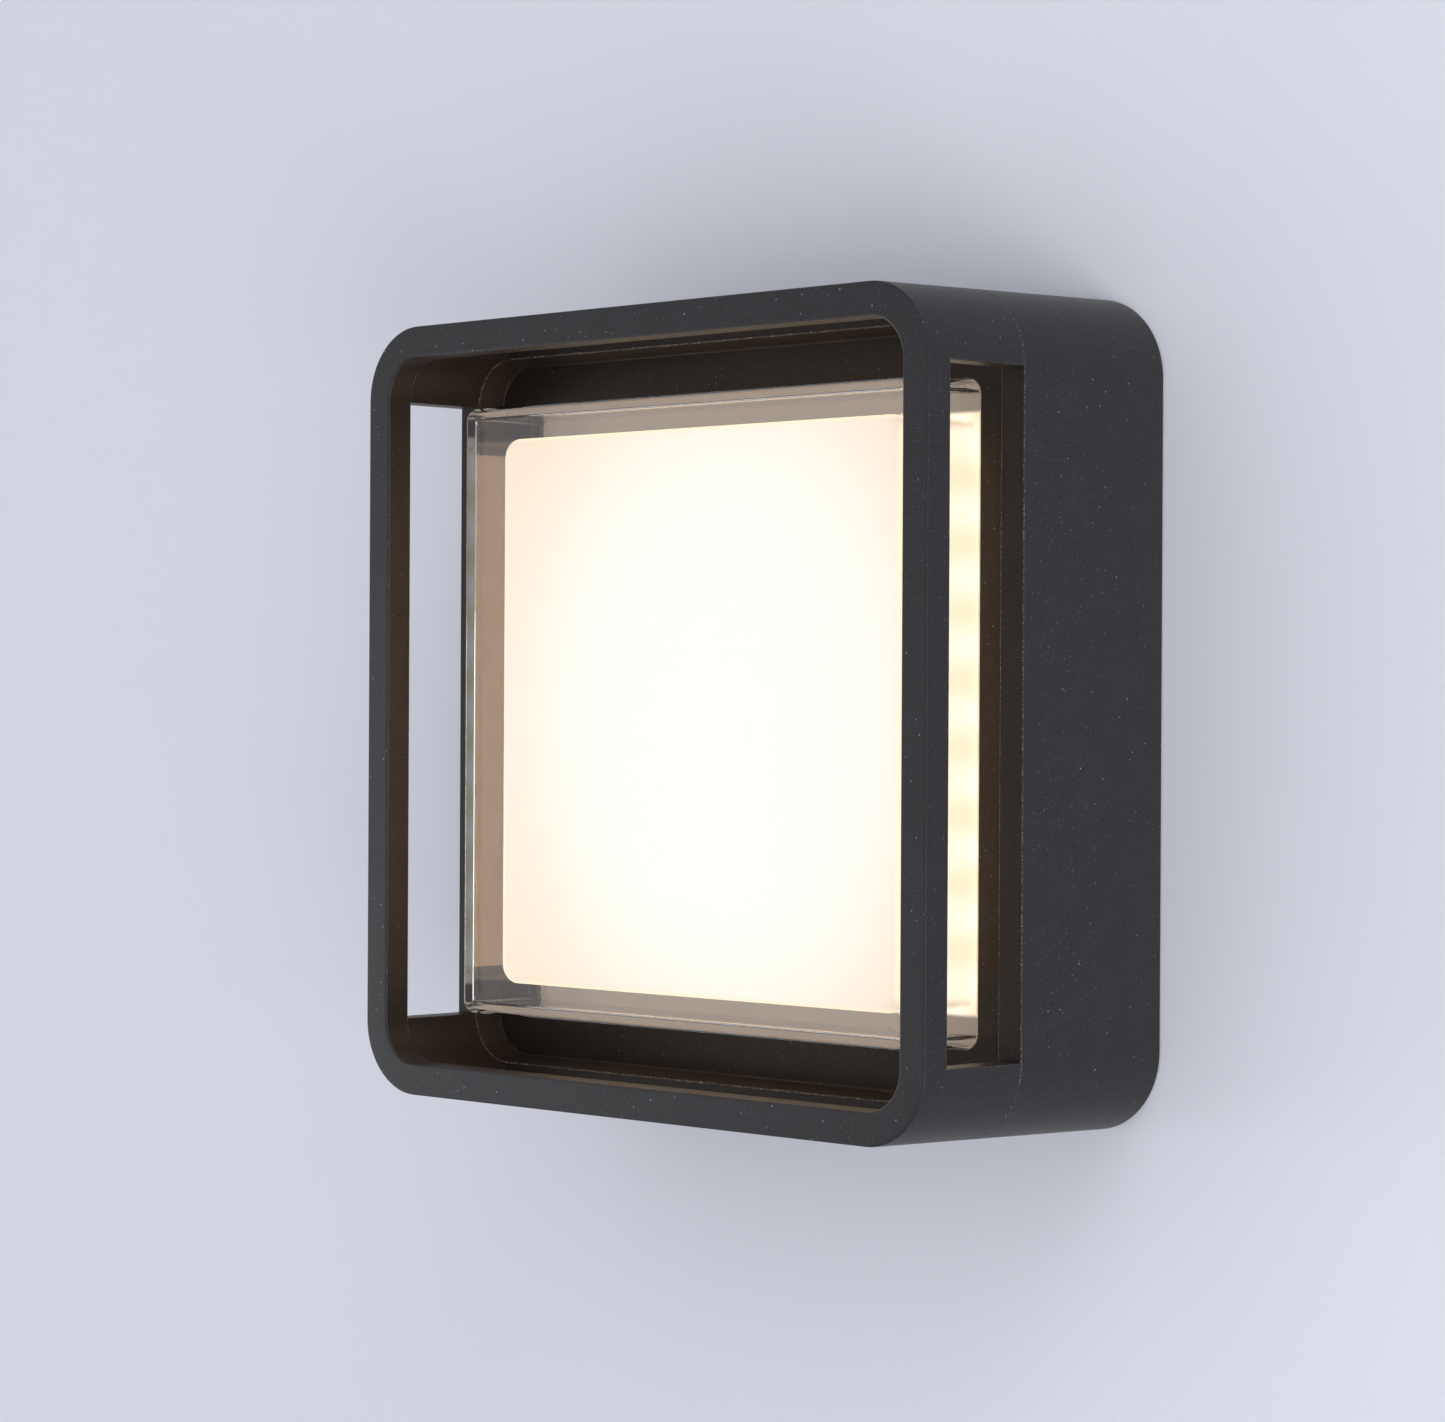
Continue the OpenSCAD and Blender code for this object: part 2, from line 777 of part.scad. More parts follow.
// Set screw with a hexagon socket, upright at the top of the housing
module locking_screw() {
    translate([0, 0, lock_depth])
        rotate([-90, 0, 0])
            difference() {
                rod(lock_radius, lock_tip, lock_end);
                translate([0, 0, lock_end - socket_depth])
                    cylinder(h = socket_depth + cut, r = socket_radius, $fn = 6);
            }
}

module top_locking_screw() {
    color("silver") on_wall() locking_screw();
}

module bottom_locking_screw() {
    color("silver") on_wall() mirror([0, 1, 0]) locking_screw();
}

wall_bracket();
wall_gasket();
rear_housing();
front_frame();
frame_screws();
clear_cover();
cover_gasket();
opal_diffuser();
led_board();
led_chips();
led_board_screws();
gear_tray();
tray_screws();
wire_grommet();
driver_case();
driver_lid();
driver_board();
driver_components();
driver_screws();
terminal_block();
terminal_screws();
terminal_fixing_screw();
earth_lug();
earth_screw();
mains_wires();
earth_wire();
led_wires();
back_cover();
back_cover_screws();
cable_grommet();
top_locking_screw();
bottom_locking_screw();
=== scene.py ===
"""Square outdoor wall lantern: the finished look of every piece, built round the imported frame.

The lamp hangs on a wall at y = 0 and stands out along -y. Sizes are in millimetres and meshes are
made in metres. A depth is a distance from the wall. Each sub-assembly is a class that builds its
meshes and dresses them, and main() builds the classes in order.
"""

import json
import logging
import math
import random
from dataclasses import dataclass, field
from enum import Enum
from typing import Callable, Optional, Sequence

import bmesh
import bpy
from mathutils import Matrix, Vector

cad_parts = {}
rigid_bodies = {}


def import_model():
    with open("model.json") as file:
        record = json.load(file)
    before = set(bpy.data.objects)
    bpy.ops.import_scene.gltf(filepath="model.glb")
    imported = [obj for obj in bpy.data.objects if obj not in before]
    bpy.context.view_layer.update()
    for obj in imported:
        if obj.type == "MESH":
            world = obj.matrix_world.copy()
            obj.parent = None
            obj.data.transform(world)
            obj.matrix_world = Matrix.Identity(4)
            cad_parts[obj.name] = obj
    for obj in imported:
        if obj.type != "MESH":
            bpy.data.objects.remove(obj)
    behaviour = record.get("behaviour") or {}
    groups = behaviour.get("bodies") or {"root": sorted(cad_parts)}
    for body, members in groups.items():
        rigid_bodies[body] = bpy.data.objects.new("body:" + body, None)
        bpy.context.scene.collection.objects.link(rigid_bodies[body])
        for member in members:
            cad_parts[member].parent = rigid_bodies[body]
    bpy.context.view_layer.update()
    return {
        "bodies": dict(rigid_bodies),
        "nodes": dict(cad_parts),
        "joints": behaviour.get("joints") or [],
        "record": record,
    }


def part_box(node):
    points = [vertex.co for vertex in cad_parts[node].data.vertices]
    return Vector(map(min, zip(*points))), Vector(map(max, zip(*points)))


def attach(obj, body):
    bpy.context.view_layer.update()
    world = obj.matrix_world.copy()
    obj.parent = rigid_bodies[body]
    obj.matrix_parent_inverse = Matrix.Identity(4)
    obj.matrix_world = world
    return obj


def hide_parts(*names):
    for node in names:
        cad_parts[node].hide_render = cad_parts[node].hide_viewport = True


log = logging.getLogger("wall_lantern")

MM = 0.001
Point2 = tuple[float, float]
Colour = tuple[float, float, float]


# ---------------------------------------------------------------- small helpers


def grey(level: float, warmth: float = 0.0) -> Colour:
    """Returns a grey of that linear level, warmer or cooler by warmth."""
    return (level * (1 + warmth), level, level * (1 - warmth))


def node_box(name: str) -> tuple[Vector, Vector]:
    """Returns the lowest and highest corners of a CAD node, in millimetres."""
    low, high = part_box(name)
    return low / MM, high / MM


def depth_range(name: str) -> tuple[float, float]:
    """Returns how far the back and the front of a CAD node stand from the wall, in millimetres."""
    low, high = node_box(name)
    return -high.y, -low.y


def place(x: float, z: float, depth: float) -> Vector:
    """Returns the point at x and z on the face of the lamp, at a depth from the wall, in metres."""
    return Vector((x, -depth, z)) * MM


def link_mesh(name: str, mesh: bpy.types.Mesh) -> bpy.types.Object:
    """Puts a mesh in the scene as an object at the origin.

    Args:
        name: the object's name.
        mesh: its mesh, in place.

    Returns:
        The new object.
    """
    obj = bpy.data.objects.new(name, mesh)
    bpy.context.scene.collection.objects.link(obj)
    return obj


def bake_modifiers(obj: bpy.types.Object) -> bpy.types.Object:
    """Turns an object's live modifiers into a plain mesh.

    Args:
        obj: an object with modifiers.

    Returns:
        The same object, with the result as its mesh and no modifiers.
    """
    graph = bpy.context.evaluated_depsgraph_get()
    graph.update()
    mesh = bpy.data.meshes.new_from_object(obj.evaluated_get(graph), depsgraph=graph)
    mesh.name = obj.name
    old = obj.data
    obj.modifiers.clear()
    obj.data = mesh
    bpy.data.meshes.remove(old)
    return obj


def smooth(obj: bpy.types.Object, angle: float = 35.0) -> bpy.types.Object:
    """Shades an object smooth, with creases past an angle, and weighs normals by face area.

    Args:
        obj: the object, with a plain mesh.
        angle: the crease angle in degrees.

    Returns:
        The same object.
    """
    obj.data.shade_smooth()
    obj.data.set_sharp_from_angle(angle=math.radians(angle))
    weigh = obj.modifiers.new("weigh", "WEIGHTED_NORMAL")
    weigh.keep_sharp = True
    return bake_modifiers(obj)


def mark_edges(obj: bpy.types.Object, widest: float = 0.17) -> bpy.types.Object:
    """Stores which faces lie along a convex rounded edge, as the face corner attribute edge_wear.

    Args:
        obj: the object, with a plain mesh.
        widest: the width in millimetres up to which a face counts as part of a rounded edge.

    Returns:
        The same object.
    """
    bm = bmesh.new()
    bm.from_mesh(obj.data)
    wear = []
    for face in bm.faces:
        width = 2 * face.calc_area() / face.calc_perimeter()
        convex = sum(e.calc_face_angle_signed(0.0) for e in face.edges) > math.radians(9)
        wear += [1.0 if width < widest * MM and convex else 0.0] * len(face.verts)
    bm.free()
    layer = obj.data.attributes.new("edge_wear", "FLOAT", "CORNER")
    layer.data.foreach_set("value", wear)
    return obj


def join_tools(tools: Sequence[bpy.types.Object]) -> bpy.types.Object:
    """Puts separate closed meshes into one object and deletes the rest.

    Args:
        tools: closed meshes that don't touch one another.

    Returns:
        The first object, with everything in its mesh.
    """
    bm = bmesh.new()
    for tool in tools:
        bm.from_mesh(tool.data)
    bm.to_mesh(tools[0].data)
    bm.free()
    for tool in tools[1:]:
        bpy.data.objects.remove(tool)
    return tools[0]


def combine(obj: bpy.types.Object, tools: Sequence[bpy.types.Object], operation: str) -> bpy.types.Object:
    """Cuts tools from an object, or adds them to it, and deletes the tools.

    Args:
        obj: the object to change.
        tools: closed meshes that don't touch one another.
        operation: DIFFERENCE to cut or UNION to add.

    Returns:
        The same object, with a plain mesh.
    """
    tool = join_tools(tools)
    boolean = obj.modifiers.new("combine", "BOOLEAN")
    boolean.object = tool
    boolean.operation = operation
    boolean.solver = "EXACT"
    bake_modifiers(obj)
    bpy.data.objects.remove(tool)
    return obj


@dataclass(frozen=True)
class Loop:
    """A closed square path with round corners at one depth, one line of a lofted wall."""

    span: float
    radius: float
    depth: float
    rounding: float = 0.0

    def point(self, corner: int, angle: float) -> Vector:
        """Returns the point of one corner's arc at an angle, in metres.

        Args:
            corner: 0 to 3, anticlockwise from the upper right, seen from the front.
            angle: 0 to 90 degrees along that corner.
        """
        turn = math.radians(90 * corner + angle)
        signs = ((1, 1), (-1, 1), (-1, -1), (1, -1))[corner]
        x = signs[0] * self.span + self.radius * math.cos(turn)
        z = signs[1] * self.span + self.radius * math.sin(turn)
        return place(x, z, self.depth)


class Loft:
    """Builds a wall from loops that follow one another, with each loop's edge rounded."""

    corner_steps: int = 20
    side_steps: int = 4
    cap_shares: tuple[float, ...] = (0.93, 0.7, 0.4, 0.12)

    def __init__(self, name: str) -> None:
        """Starts an empty loft.

        Args:
            name: the name of the object it makes.
        """
        self.name = name
        self.bm = bmesh.new()
        self.weight = self.bm.edges.layers.float.new("bevel_weight_edge")
        self.largest = 0.0
        self.roundings: list[tuple[bmesh.types.BMEdge, float]] = []

    def row(self, loop: Loop) -> list[bmesh.types.BMVert]:
        """Returns a loop's vertices, anticlockwise seen from the front.

        Args:
            loop: the loop to place.
        """
        verts = []
        for corner in range(4):
            for step in range(self.corner_steps + 1):
                verts.append(self.bm.verts.new(loop.point(corner, 90 * step / self.corner_steps)))
            start = loop.point(corner, 90)
            end = loop.point((corner + 1) % 4, 0)
            for step in range(1, self.side_steps):
                verts.append(self.bm.verts.new(start.lerp(end, step / self.side_steps)))
        return verts

    def round_edge(self, a: bmesh.types.BMVert, b: bmesh.types.BMVert, rounding: float) -> None:
        """Asks for an edge to be rounded.

        Args:
            a: one end of the edge.
            b: the other end.
            rounding: the radius in millimetres.
        """
        edge = self.bm.edges.get((a, b))
        if edge is not None and rounding > 0:
            self.roundings.append((edge, rounding))
            self.largest = max(self.largest, rounding)

    def band(self, first: list, second: list) -> None:
        """Joins two rows of vertices by a band of faces.

        Args:
            first: a row of vertices.
            second: the next row, as long as the first.
        """
        count = len(first)
        for i in range(count):
            j = (i + 1) % count
            self.bm.faces.new((first[i], first[j], second[j], second[i]))

    def closed(self, loops: Sequence[Loop]) -> None:
        """Builds a closed tube of bands whose last loop joins the first.

        Args:
            loops: the loops in order round the wall's section.
        """
        rows = [self.row(loop) for loop in loops]
        for i, row in enumerate(rows):
            self.band(row, rows[(i + 1) % len(rows)])
        self.round_rows(rows, loops)

    def capped(self, loops: Sequence[Loop]) -> None:
        """Builds bands with a face across the first and the last loop.

        Args:
            loops: the loops in order from one face to the other.
        """
        rows = [self.row(loop) for loop in loops]
        for first, second in zip(rows, rows[1:]):
            self.band(first, second)
        self.cap(loops[0], rows[0])
        self.cap(loops[-1], rows[-1])
        self.round_rows(rows, loops)

    def cap(self, loop: Loop, row: list) -> None:
        """Closes a flat face with rings that shrink to its middle.

        Args:
            loop: the loop round the face.
            row: its vertices.
        """
        for share in self.cap_shares:
            inner = self.row(Loop(share * loop.span, share * max(loop.radius, 0.5), loop.depth))
            self.band(row, inner)
            row = inner
        centre = self.bm.verts.new(place(0, 0, loop.depth))
        for i, vert in enumerate(row):
            self.bm.faces.new((vert, row[(i + 1) % len(row)], centre))

    def round_rows(self, rows: list, loops: Sequence[Loop]) -> None:
        """Asks for each loop's own rounding along its row.

        Args:
            rows: the rows of vertices.
            loops: the loops they came from.
        """
        for row, loop in zip(rows, loops):
            for i, vert in enumerate(row):
                self.round_edge(vert, row[(i + 1) % len(row)], loop.rounding)

    def plain(self) -> bpy.types.Object:
        """Returns the loft as an object with outward faces and no rounding yet."""
        bmesh.ops.recalc_face_normals(self.bm, faces=self.bm.faces[:])
        for edge, rounding in self.roundings:
            edge[self.weight] = rounding / self.largest
        mesh = bpy.data.meshes.new(self.name)
        self.bm.to_mesh(mesh)
        self.bm.free()
        return link_mesh(self.name, mesh)

    def rounded(self, segments: int = 4) -> bpy.types.Object:
        """Returns the loft as a finished object.

        Args:
            segments: how many faces round each edge.
        """
        obj = self.plain()
        if self.largest > 0:
            bevel = obj.modifiers.new("rounding", "BEVEL")
            bevel.limit_method = "WEIGHT"
            bevel.width = self.largest * MM
            bevel.segments = segments
            bevel.use_clamp_overlap = False
            bevel.harden_normals = False
            bake_modifiers(obj)
        return obj


def lathe(name: str, outline: Sequence[Point2], steps: int = 32) -> bpy.types.Object:
    """Turns an outline about the depth axis.

    Args:
        name: the object's name.
        outline: (radius, depth) points in millimetres, from axis to axis or closed on itself.
        steps: how many faces go round.

    Returns:
        A closed object with outward faces.
    """
    bm = bmesh.new()
    on_axis = outline[0][0] == 0
    rows = []
    for radius, depth in outline:
        if radius == 0:
            rows.append([bm.verts.new(place(0, 0, depth))])
        else:
            turns = [2 * math.pi * i / steps for i in range(steps)]
            rows.append([bm.verts.new(place(radius * math.cos(t), radius * math.sin(t), depth)) for t in turns])
    pairs = list(zip(rows, rows[1:])) + ([] if on_axis else [(rows[-1], rows[0])])
    for first, second in pairs:
        for i in range(steps):
            j = (i + 1) % steps
            if len(first) == 1:
                bm.faces.new((first[0], second[j], second[i]))
            elif len(second) == 1:
                bm.faces.new((first[i], first[j], second[0]))
            else:
                bm.faces.new((first[i], first[j], second[j], second[i]))
    bmesh.ops.recalc_face_normals(bm, faces=bm.faces[:])
    mesh = bpy.data.meshes.new(name)
    bm.to_mesh(mesh)
    bm.free()
    return link_mesh(name, mesh)


def block(name: str, low: Vector, high: Vector) -> bpy.types.Object:
    """Returns a closed box between two corners in millimetres, as a cutting tool or a blank.

    Args:
        name: the object's name.
        low: the lowest corner.
        high: the highest corner.
    """
    bm = bmesh.new()
    size = (high - low) * MM
    middle = (high + low) * MM / 2
    bmesh.ops.create_cube(bm, size=1.0, matrix=Matrix.Translation(middle) @ Matrix.Diagonal((*size, 1.0)))
    mesh = bpy.data.meshes.new(name)
    bm.to_mesh(mesh)
    bm.free()
    return link_mesh(name, mesh)


def peg(name: str, x: float, z: float, radius: float, start: float, end: float, steps: int = 32) -> bpy.types.Object:
    """Returns a straight round peg along the depth axis, as a boss or a cutting tool.

    Args:
        name: the object's name.
        x: its centre across the lamp, in millimetres.
        z: its centre up the lamp.
        radius: its radius.
        start: the depth of one end.
        end: the depth of the other end.
        steps: how many faces go round.
    """
    obj = lathe(name, [(0, start), (radius, start), (radius, end), (0, end)], steps)
    obj.data.transform(Matrix.Translation(Vector((x, 0, z)) * MM))
    return obj


def soften(obj: bpy.types.Object, radius: float, segments: int = 3, angle: float = 35.0) -> bpy.types.Object:
    """Rounds every sharp edge of an object.

    Args:
        obj: the object.
        radius: the radius in millimetres.
        segments: how many faces round each edge.
        angle: the angle between faces, in degrees, from which an edge counts as sharp.

    Returns:
        The same object, with a plain mesh.
    """
    bevel = obj.modifiers.new("soften", "BEVEL")
    bevel.limit_method = "ANGLE"
    bevel.angle_limit = math.radians(angle)
    bevel.width = radius * MM
    bevel.segments = segments
    return bake_modifiers(obj)


# ---------------------------------------------------------------- shader groups


class Socket(Enum):
    """Kinds of socket that the node groups use."""

    NUMBER = "NodeSocketFloat"
    COLOUR = "NodeSocketColor"
    VECTOR = "NodeSocketVector"
    SHAPE = "NodeSocketGeometry"
    WHOLE = "NodeSocketInt"
    FINISH = "NodeSocketMaterial"
    PIECE = "NodeSocketObject"


class Tree:
    """Adds and joins nodes in one node tree."""

    def __init__(self, tree: bpy.types.NodeTree) -> None:
        """Wraps a tree.

        Args:
            tree: the node tree to build in.
        """
        self.tree = tree

    def add(self, kind: str, inputs: Optional[dict] = None, **settings: object) -> bpy.types.Node:
        """Adds a node.

        Args:
            kind: the node's type name.
            inputs: values or sockets for its inputs, by name or number.
            settings: values for its properties.

        Returns:
            The node.
        """
        node = self.tree.nodes.new(kind)
        for key, value in settings.items():
            setattr(node, key, value)
        for key, value in (inputs or {}).items():
            self.feed(node.inputs[key], value)
        return node

    def feed(self, socket: bpy.types.NodeSocket, value: object) -> None:
        """Links a socket to an input, or sets the input's value.

        Args:
            socket: the input.
            value: an output socket or a plain value.
        """
        if isinstance(value, bpy.types.NodeSocket):
            self.tree.links.new(value, socket)
        else:
            socket.default_value = value

    def maths(self, operation: str, first: object, second: object = 0.5) -> bpy.types.NodeSocket:
        """Returns the result of a Math node, by name, on two values or sockets."""
        maker = "ShaderNodeMath"
        return self.add(maker, {0: first, 1: second}, operation=operation).outputs[0]

    def ramp(self, value: object, low: float, high: float) -> bpy.types.NodeSocket:
        """Returns value carried from low..high to 0..1 with soft ends.

        Args:
            value: the socket to carry over.
            low: what becomes 0.
            high: what becomes 1.
        """
        node = self.add("ShaderNodeMapRange", {"Value": value, "From Min": low, "From Max": high})
        node.interpolation_type = "SMOOTHSTEP"
        return node.outputs["Result"]

    def blend(self, share: object, first: object, second: object) -> bpy.types.NodeSocket:
        """Returns a mix of two colours.

        Args:
            share: how much of the second colour shows.
            first: a colour or socket.
            second: a colour or socket.
        """
        node = self.add("ShaderNodeMix", data_type="RGBA")
        self.feed(node.inputs["Factor"], share)
        for key, value in (("A", first), ("B", second)):
            socket = [s for s in node.inputs if s.name == key and s.type == "RGBA"][0]
            self.feed(socket, value if isinstance(value, bpy.types.NodeSocket) else (*value, 1.0))
        return [s for s in node.outputs if s.type == "RGBA"][0]


def new_group(name: str, takes: dict[str, float], gives: Sequence[str]) -> tuple[bpy.types.NodeTree, Tree, dict, object]:
    """Starts a shader node group with number inputs and number outputs.

    Args:
        name: the group's name.
        takes: its inputs and their usual values.
        gives: its outputs.

    Returns:
        The group, its tree, its input sockets by name, and its output node.
    """
    group = bpy.data.node_groups.new(name, "ShaderNodeTree")
    for label, value in takes.items():
        socket = group.interface.new_socket(name=label, in_out="INPUT", socket_type=Socket.NUMBER.value)
        socket.default_value = value
    for label in gives:
        group.interface.new_socket(name=label, in_out="OUTPUT", socket_type=Socket.NUMBER.value)
    tree = Tree(group)
    entry = tree.add("NodeGroupInput")
    result = tree.add("NodeGroupOutput")
    return group, tree, {s.name: s for s in entry.outputs}, result


def object_place(tree: Tree) -> bpy.types.NodeSocket:
    """Returns the object coordinates."""
    return tree.add("ShaderNodeTexCoord").outputs["Object"]


def grain_group() -> bpy.types.NodeTree:
    """Returns the group for the fine relief of a coated, cast or moulded surface.

    It puts out Height, a mix of fine grain and broad unevenness, and Shift, a slow change from 0 to 1.
    """
    takes = {"Grain mm": 0.3, "Wave mm": 6.0, "Wave share": 0.3}
    group, tree, given, result = new_group("surface_grain", takes, ("Height", "Shift"))
    where = object_place(tree)

    def noise(size: bpy.types.NodeSocket, detail: float) -> bpy.types.NodeSocket:
        """Returns noise whose features are that many millimetres wide."""
        scale = tree.maths("DIVIDE", 1000.0, size)
        return tree.add("ShaderNodeTexNoise", {"Vector": where, "Scale": scale, "Detail": detail}).outputs["Fac"]

    fine = noise(given["Grain mm"], 2.0)
    broad = noise(given["Wave mm"], 3.0)
    share = given["Wave share"]
    height = tree.maths(
        "ADD", tree.maths("MULTIPLY", fine, tree.maths("SUBTRACT", 1.0, share)), tree.maths("MULTIPLY", broad, share)
    )
    tree.feed(result.inputs["Height"], height)
    tree.feed(result.inputs["Shift"], broad)
    return group


def speck_group() -> bpy.types.NodeTree:
    """Returns the group for sparse specks of dust: Mask is 1 on a speck and 0 between them."""
    takes = {"Cell mm": 3.0, "Share": 0.3, "Radius": 0.08}
    group, tree, given, result = new_group("dust_specks", takes, ("Mask",))
    scale = tree.maths("DIVIDE", 1000.0, given["Cell mm"])
    cells = tree.add("ShaderNodeTexVoronoi", {"Vector": object_place(tree), "Scale": scale})
    lot = tree.add("ShaderNodeSeparateColor", {"Color": cells.outputs["Color"]})
    chosen = tree.maths("LESS_THAN", lot.outputs[0], given["Share"])
    size = tree.maths("MULTIPLY", given["Radius"], tree.maths("ADD", lot.outputs[1], 0.3))
    inside = tree.maths("LESS_THAN", cells.outputs["Distance"], size)
    faint = tree.maths("MULTIPLY", tree.maths("MULTIPLY", chosen, inside), lot.outputs[2])
    tree.feed(result.inputs["Mask"], faint)
    return group


def wear_group() -> bpy.types.NodeTree:
    """Returns the group for wear along edges: Mask is high where a rounded edge is rubbed."""
    takes = {"Patch mm": 0.8, "Amount": 0.5}
    group, tree, given, result = new_group("edge_wear_mask", takes, ("Mask",))
    edge = tree.add("ShaderNodeAttribute", attribute_name="edge_wear", attribute_type="GEOMETRY").outputs["Fac"]
    scale = tree.maths("DIVIDE", 1000.0, given["Patch mm"])
    patch = tree.add("ShaderNodeTexNoise", {"Vector": object_place(tree), "Scale": scale, "Detail": 3.0}).outputs["Fac"]
    rubbed = tree.ramp(patch, 0.5, 0.68)
    tree.feed(result.inputs["Mask"], tree.maths("MULTIPLY", tree.maths("MULTIPLY", edge, rubbed), given["Amount"]))
    return group


def streak_group() -> bpy.types.NodeTree:
    """Returns the group for brushed or drawn metal: Streak runs along x and changes across it."""
    takes = {"Width mm": 0.12, "Length mm": 14.0}
    group, tree, given, result = new_group("drawn_streaks", takes, ("Streak",))
    across = tree.maths("DIVIDE", 1000.0, given["Width mm"])
    along = tree.maths("DIVIDE", 1000.0, given["Length mm"])
    stretch = tree.add("ShaderNodeCombineXYZ", {0: along, 1: across, 2: across})
    place_node = tree.add("ShaderNodeVectorMath", {0: object_place(tree), 1: stretch.outputs[0]}, operation="MULTIPLY")
    noise = tree.add("ShaderNodeTexNoise", {"Vector": place_node.outputs[0], "Scale": 1.0, "Detail": 3.0})
    tree.feed(result.inputs["Streak"], noise.outputs["Fac"])
    return group


class Effects:
    """The shared shader groups, each built once."""

    def __init__(self) -> None:
        """Builds the groups."""
        self.grain = grain_group()
        self.specks = speck_group()
        self.wear = wear_group()
        self.streaks = streak_group()


# ---------------------------------------------------------------- finishes


@dataclass(frozen=True)
class Finish:
    """What every finish has: a name and a way to be made into a material."""

    name: str

    def start(self) -> tuple[bpy.types.Material, Tree, bpy.types.Node]:
        """Returns a new material, its tree and its Principled shader."""
        material = bpy.data.materials.new(self.name)
        material.use_nodes = True
        tree = Tree(material.node_tree)
        shader = material.node_tree.nodes["Principled BSDF"]
        return material, tree, shader

    def bump(self, tree: Tree, shader: bpy.types.Node, height: object, depth_mm: float) -> None:
        """Feeds a height through a Bump node to a shader.

        Args:
            tree: the material's tree.
            shader: the shader whose normal it shapes.
            height: the height socket, from 0 to 1.
            depth_mm: the height that 1 stands for.
        """
        node = tree.add("ShaderNodeBump", {"Height": height, "Distance": depth_mm * MM, "Strength": 1.0})
        tree.feed(shader.inputs["Normal"], node.outputs["Normal"])


def use_group(tree: Tree, group: bpy.types.NodeTree, values: dict[str, float]) -> bpy.types.Node:
    """Adds a shared group with its own values.

    Args:
        tree: the material's tree.
        group: the shared group.
        values: its inputs.

    Returns:
        The group's node.
    """
    node = tree.add("ShaderNodeGroup", node_tree=group)
    for key, value in values.items():
        tree.feed(node.inputs[key], value)
    return node


def span_of(tree: Tree, value: object, low: float, high: float) -> bpy.types.NodeSocket:
    """Returns a socket from 0 to 1 carried to low..high."""
    return tree.add("ShaderNodeMapRange", {"Value": value, "To Min": low, "To Max": high}).outputs["Result"]


def shade(colour: Colour, share: float) -> Colour:
    """Returns a colour made lighter or darker, kept within 1."""
    return tuple(min(1.0, share * part) for part in colour)


@dataclass(frozen=True)
class PowderCoat(Finish):
    """Matt powder coating with a fine texture, sparse dust and lightly rubbed edges."""

    colour: Colour = (0.0156, 0.0138, 0.0164)
    dust: Colour = (0.34, 0.34, 0.36)
    rubbed: Colour = (0.34, 0.32, 0.31)
    shine: float = 0.36
    roughness: float = 0.46
    tint: Colour = (1.0, 1.0, 1.0)
    dusty: float = 1.0

    def make(self, effects: Effects) -> bpy.types.Material:
        """Returns the material, built with the shared effects."""
        material, tree, shader = self.start()
        grain = use_group(tree, effects.grain, {"Grain mm": 0.55, "Wave mm": 11.0, "Wave share": 0.2})
        specks = use_group(tree, effects.specks, {"Cell mm": 2.1, "Share": 0.6, "Radius": 0.072})
        dots = use_group(tree, effects.specks, {"Cell mm": 0.95, "Share": 0.5, "Radius": 0.13})
        wear = use_group(tree, effects.wear, {"Patch mm": 0.38, "Amount": 0.5})
        drift = tree.ramp(grain.outputs["Height"], 0.36, 0.64)
        tone = tree.blend(drift, shade(self.colour, 0.72), shade(self.colour, 1.28))
        dusty = tree.maths("MAXIMUM", specks.outputs["Mask"], tree.maths("MULTIPLY", dots.outputs["Mask"], 0.4))
        dusty = tree.maths("MULTIPLY", dusty, self.dusty)
        tone = tree.blend(dusty, tone, self.dust)
        tree.feed(shader.inputs["Base Color"], tree.blend(wear.outputs["Mask"], tone, self.rubbed))
        rough = span_of(tree, grain.outputs["Height"], self.roughness - 0.06, self.roughness + 0.08)
        tree.feed(shader.inputs["Roughness"], rough)
        shader.inputs["Specular IOR Level"].default_value = self.shine
        shader.inputs["Specular Tint"].default_value = (*self.tint, 1.0)
        self.bump(tree, shader, grain.outputs["Height"], 0.02)
        return material


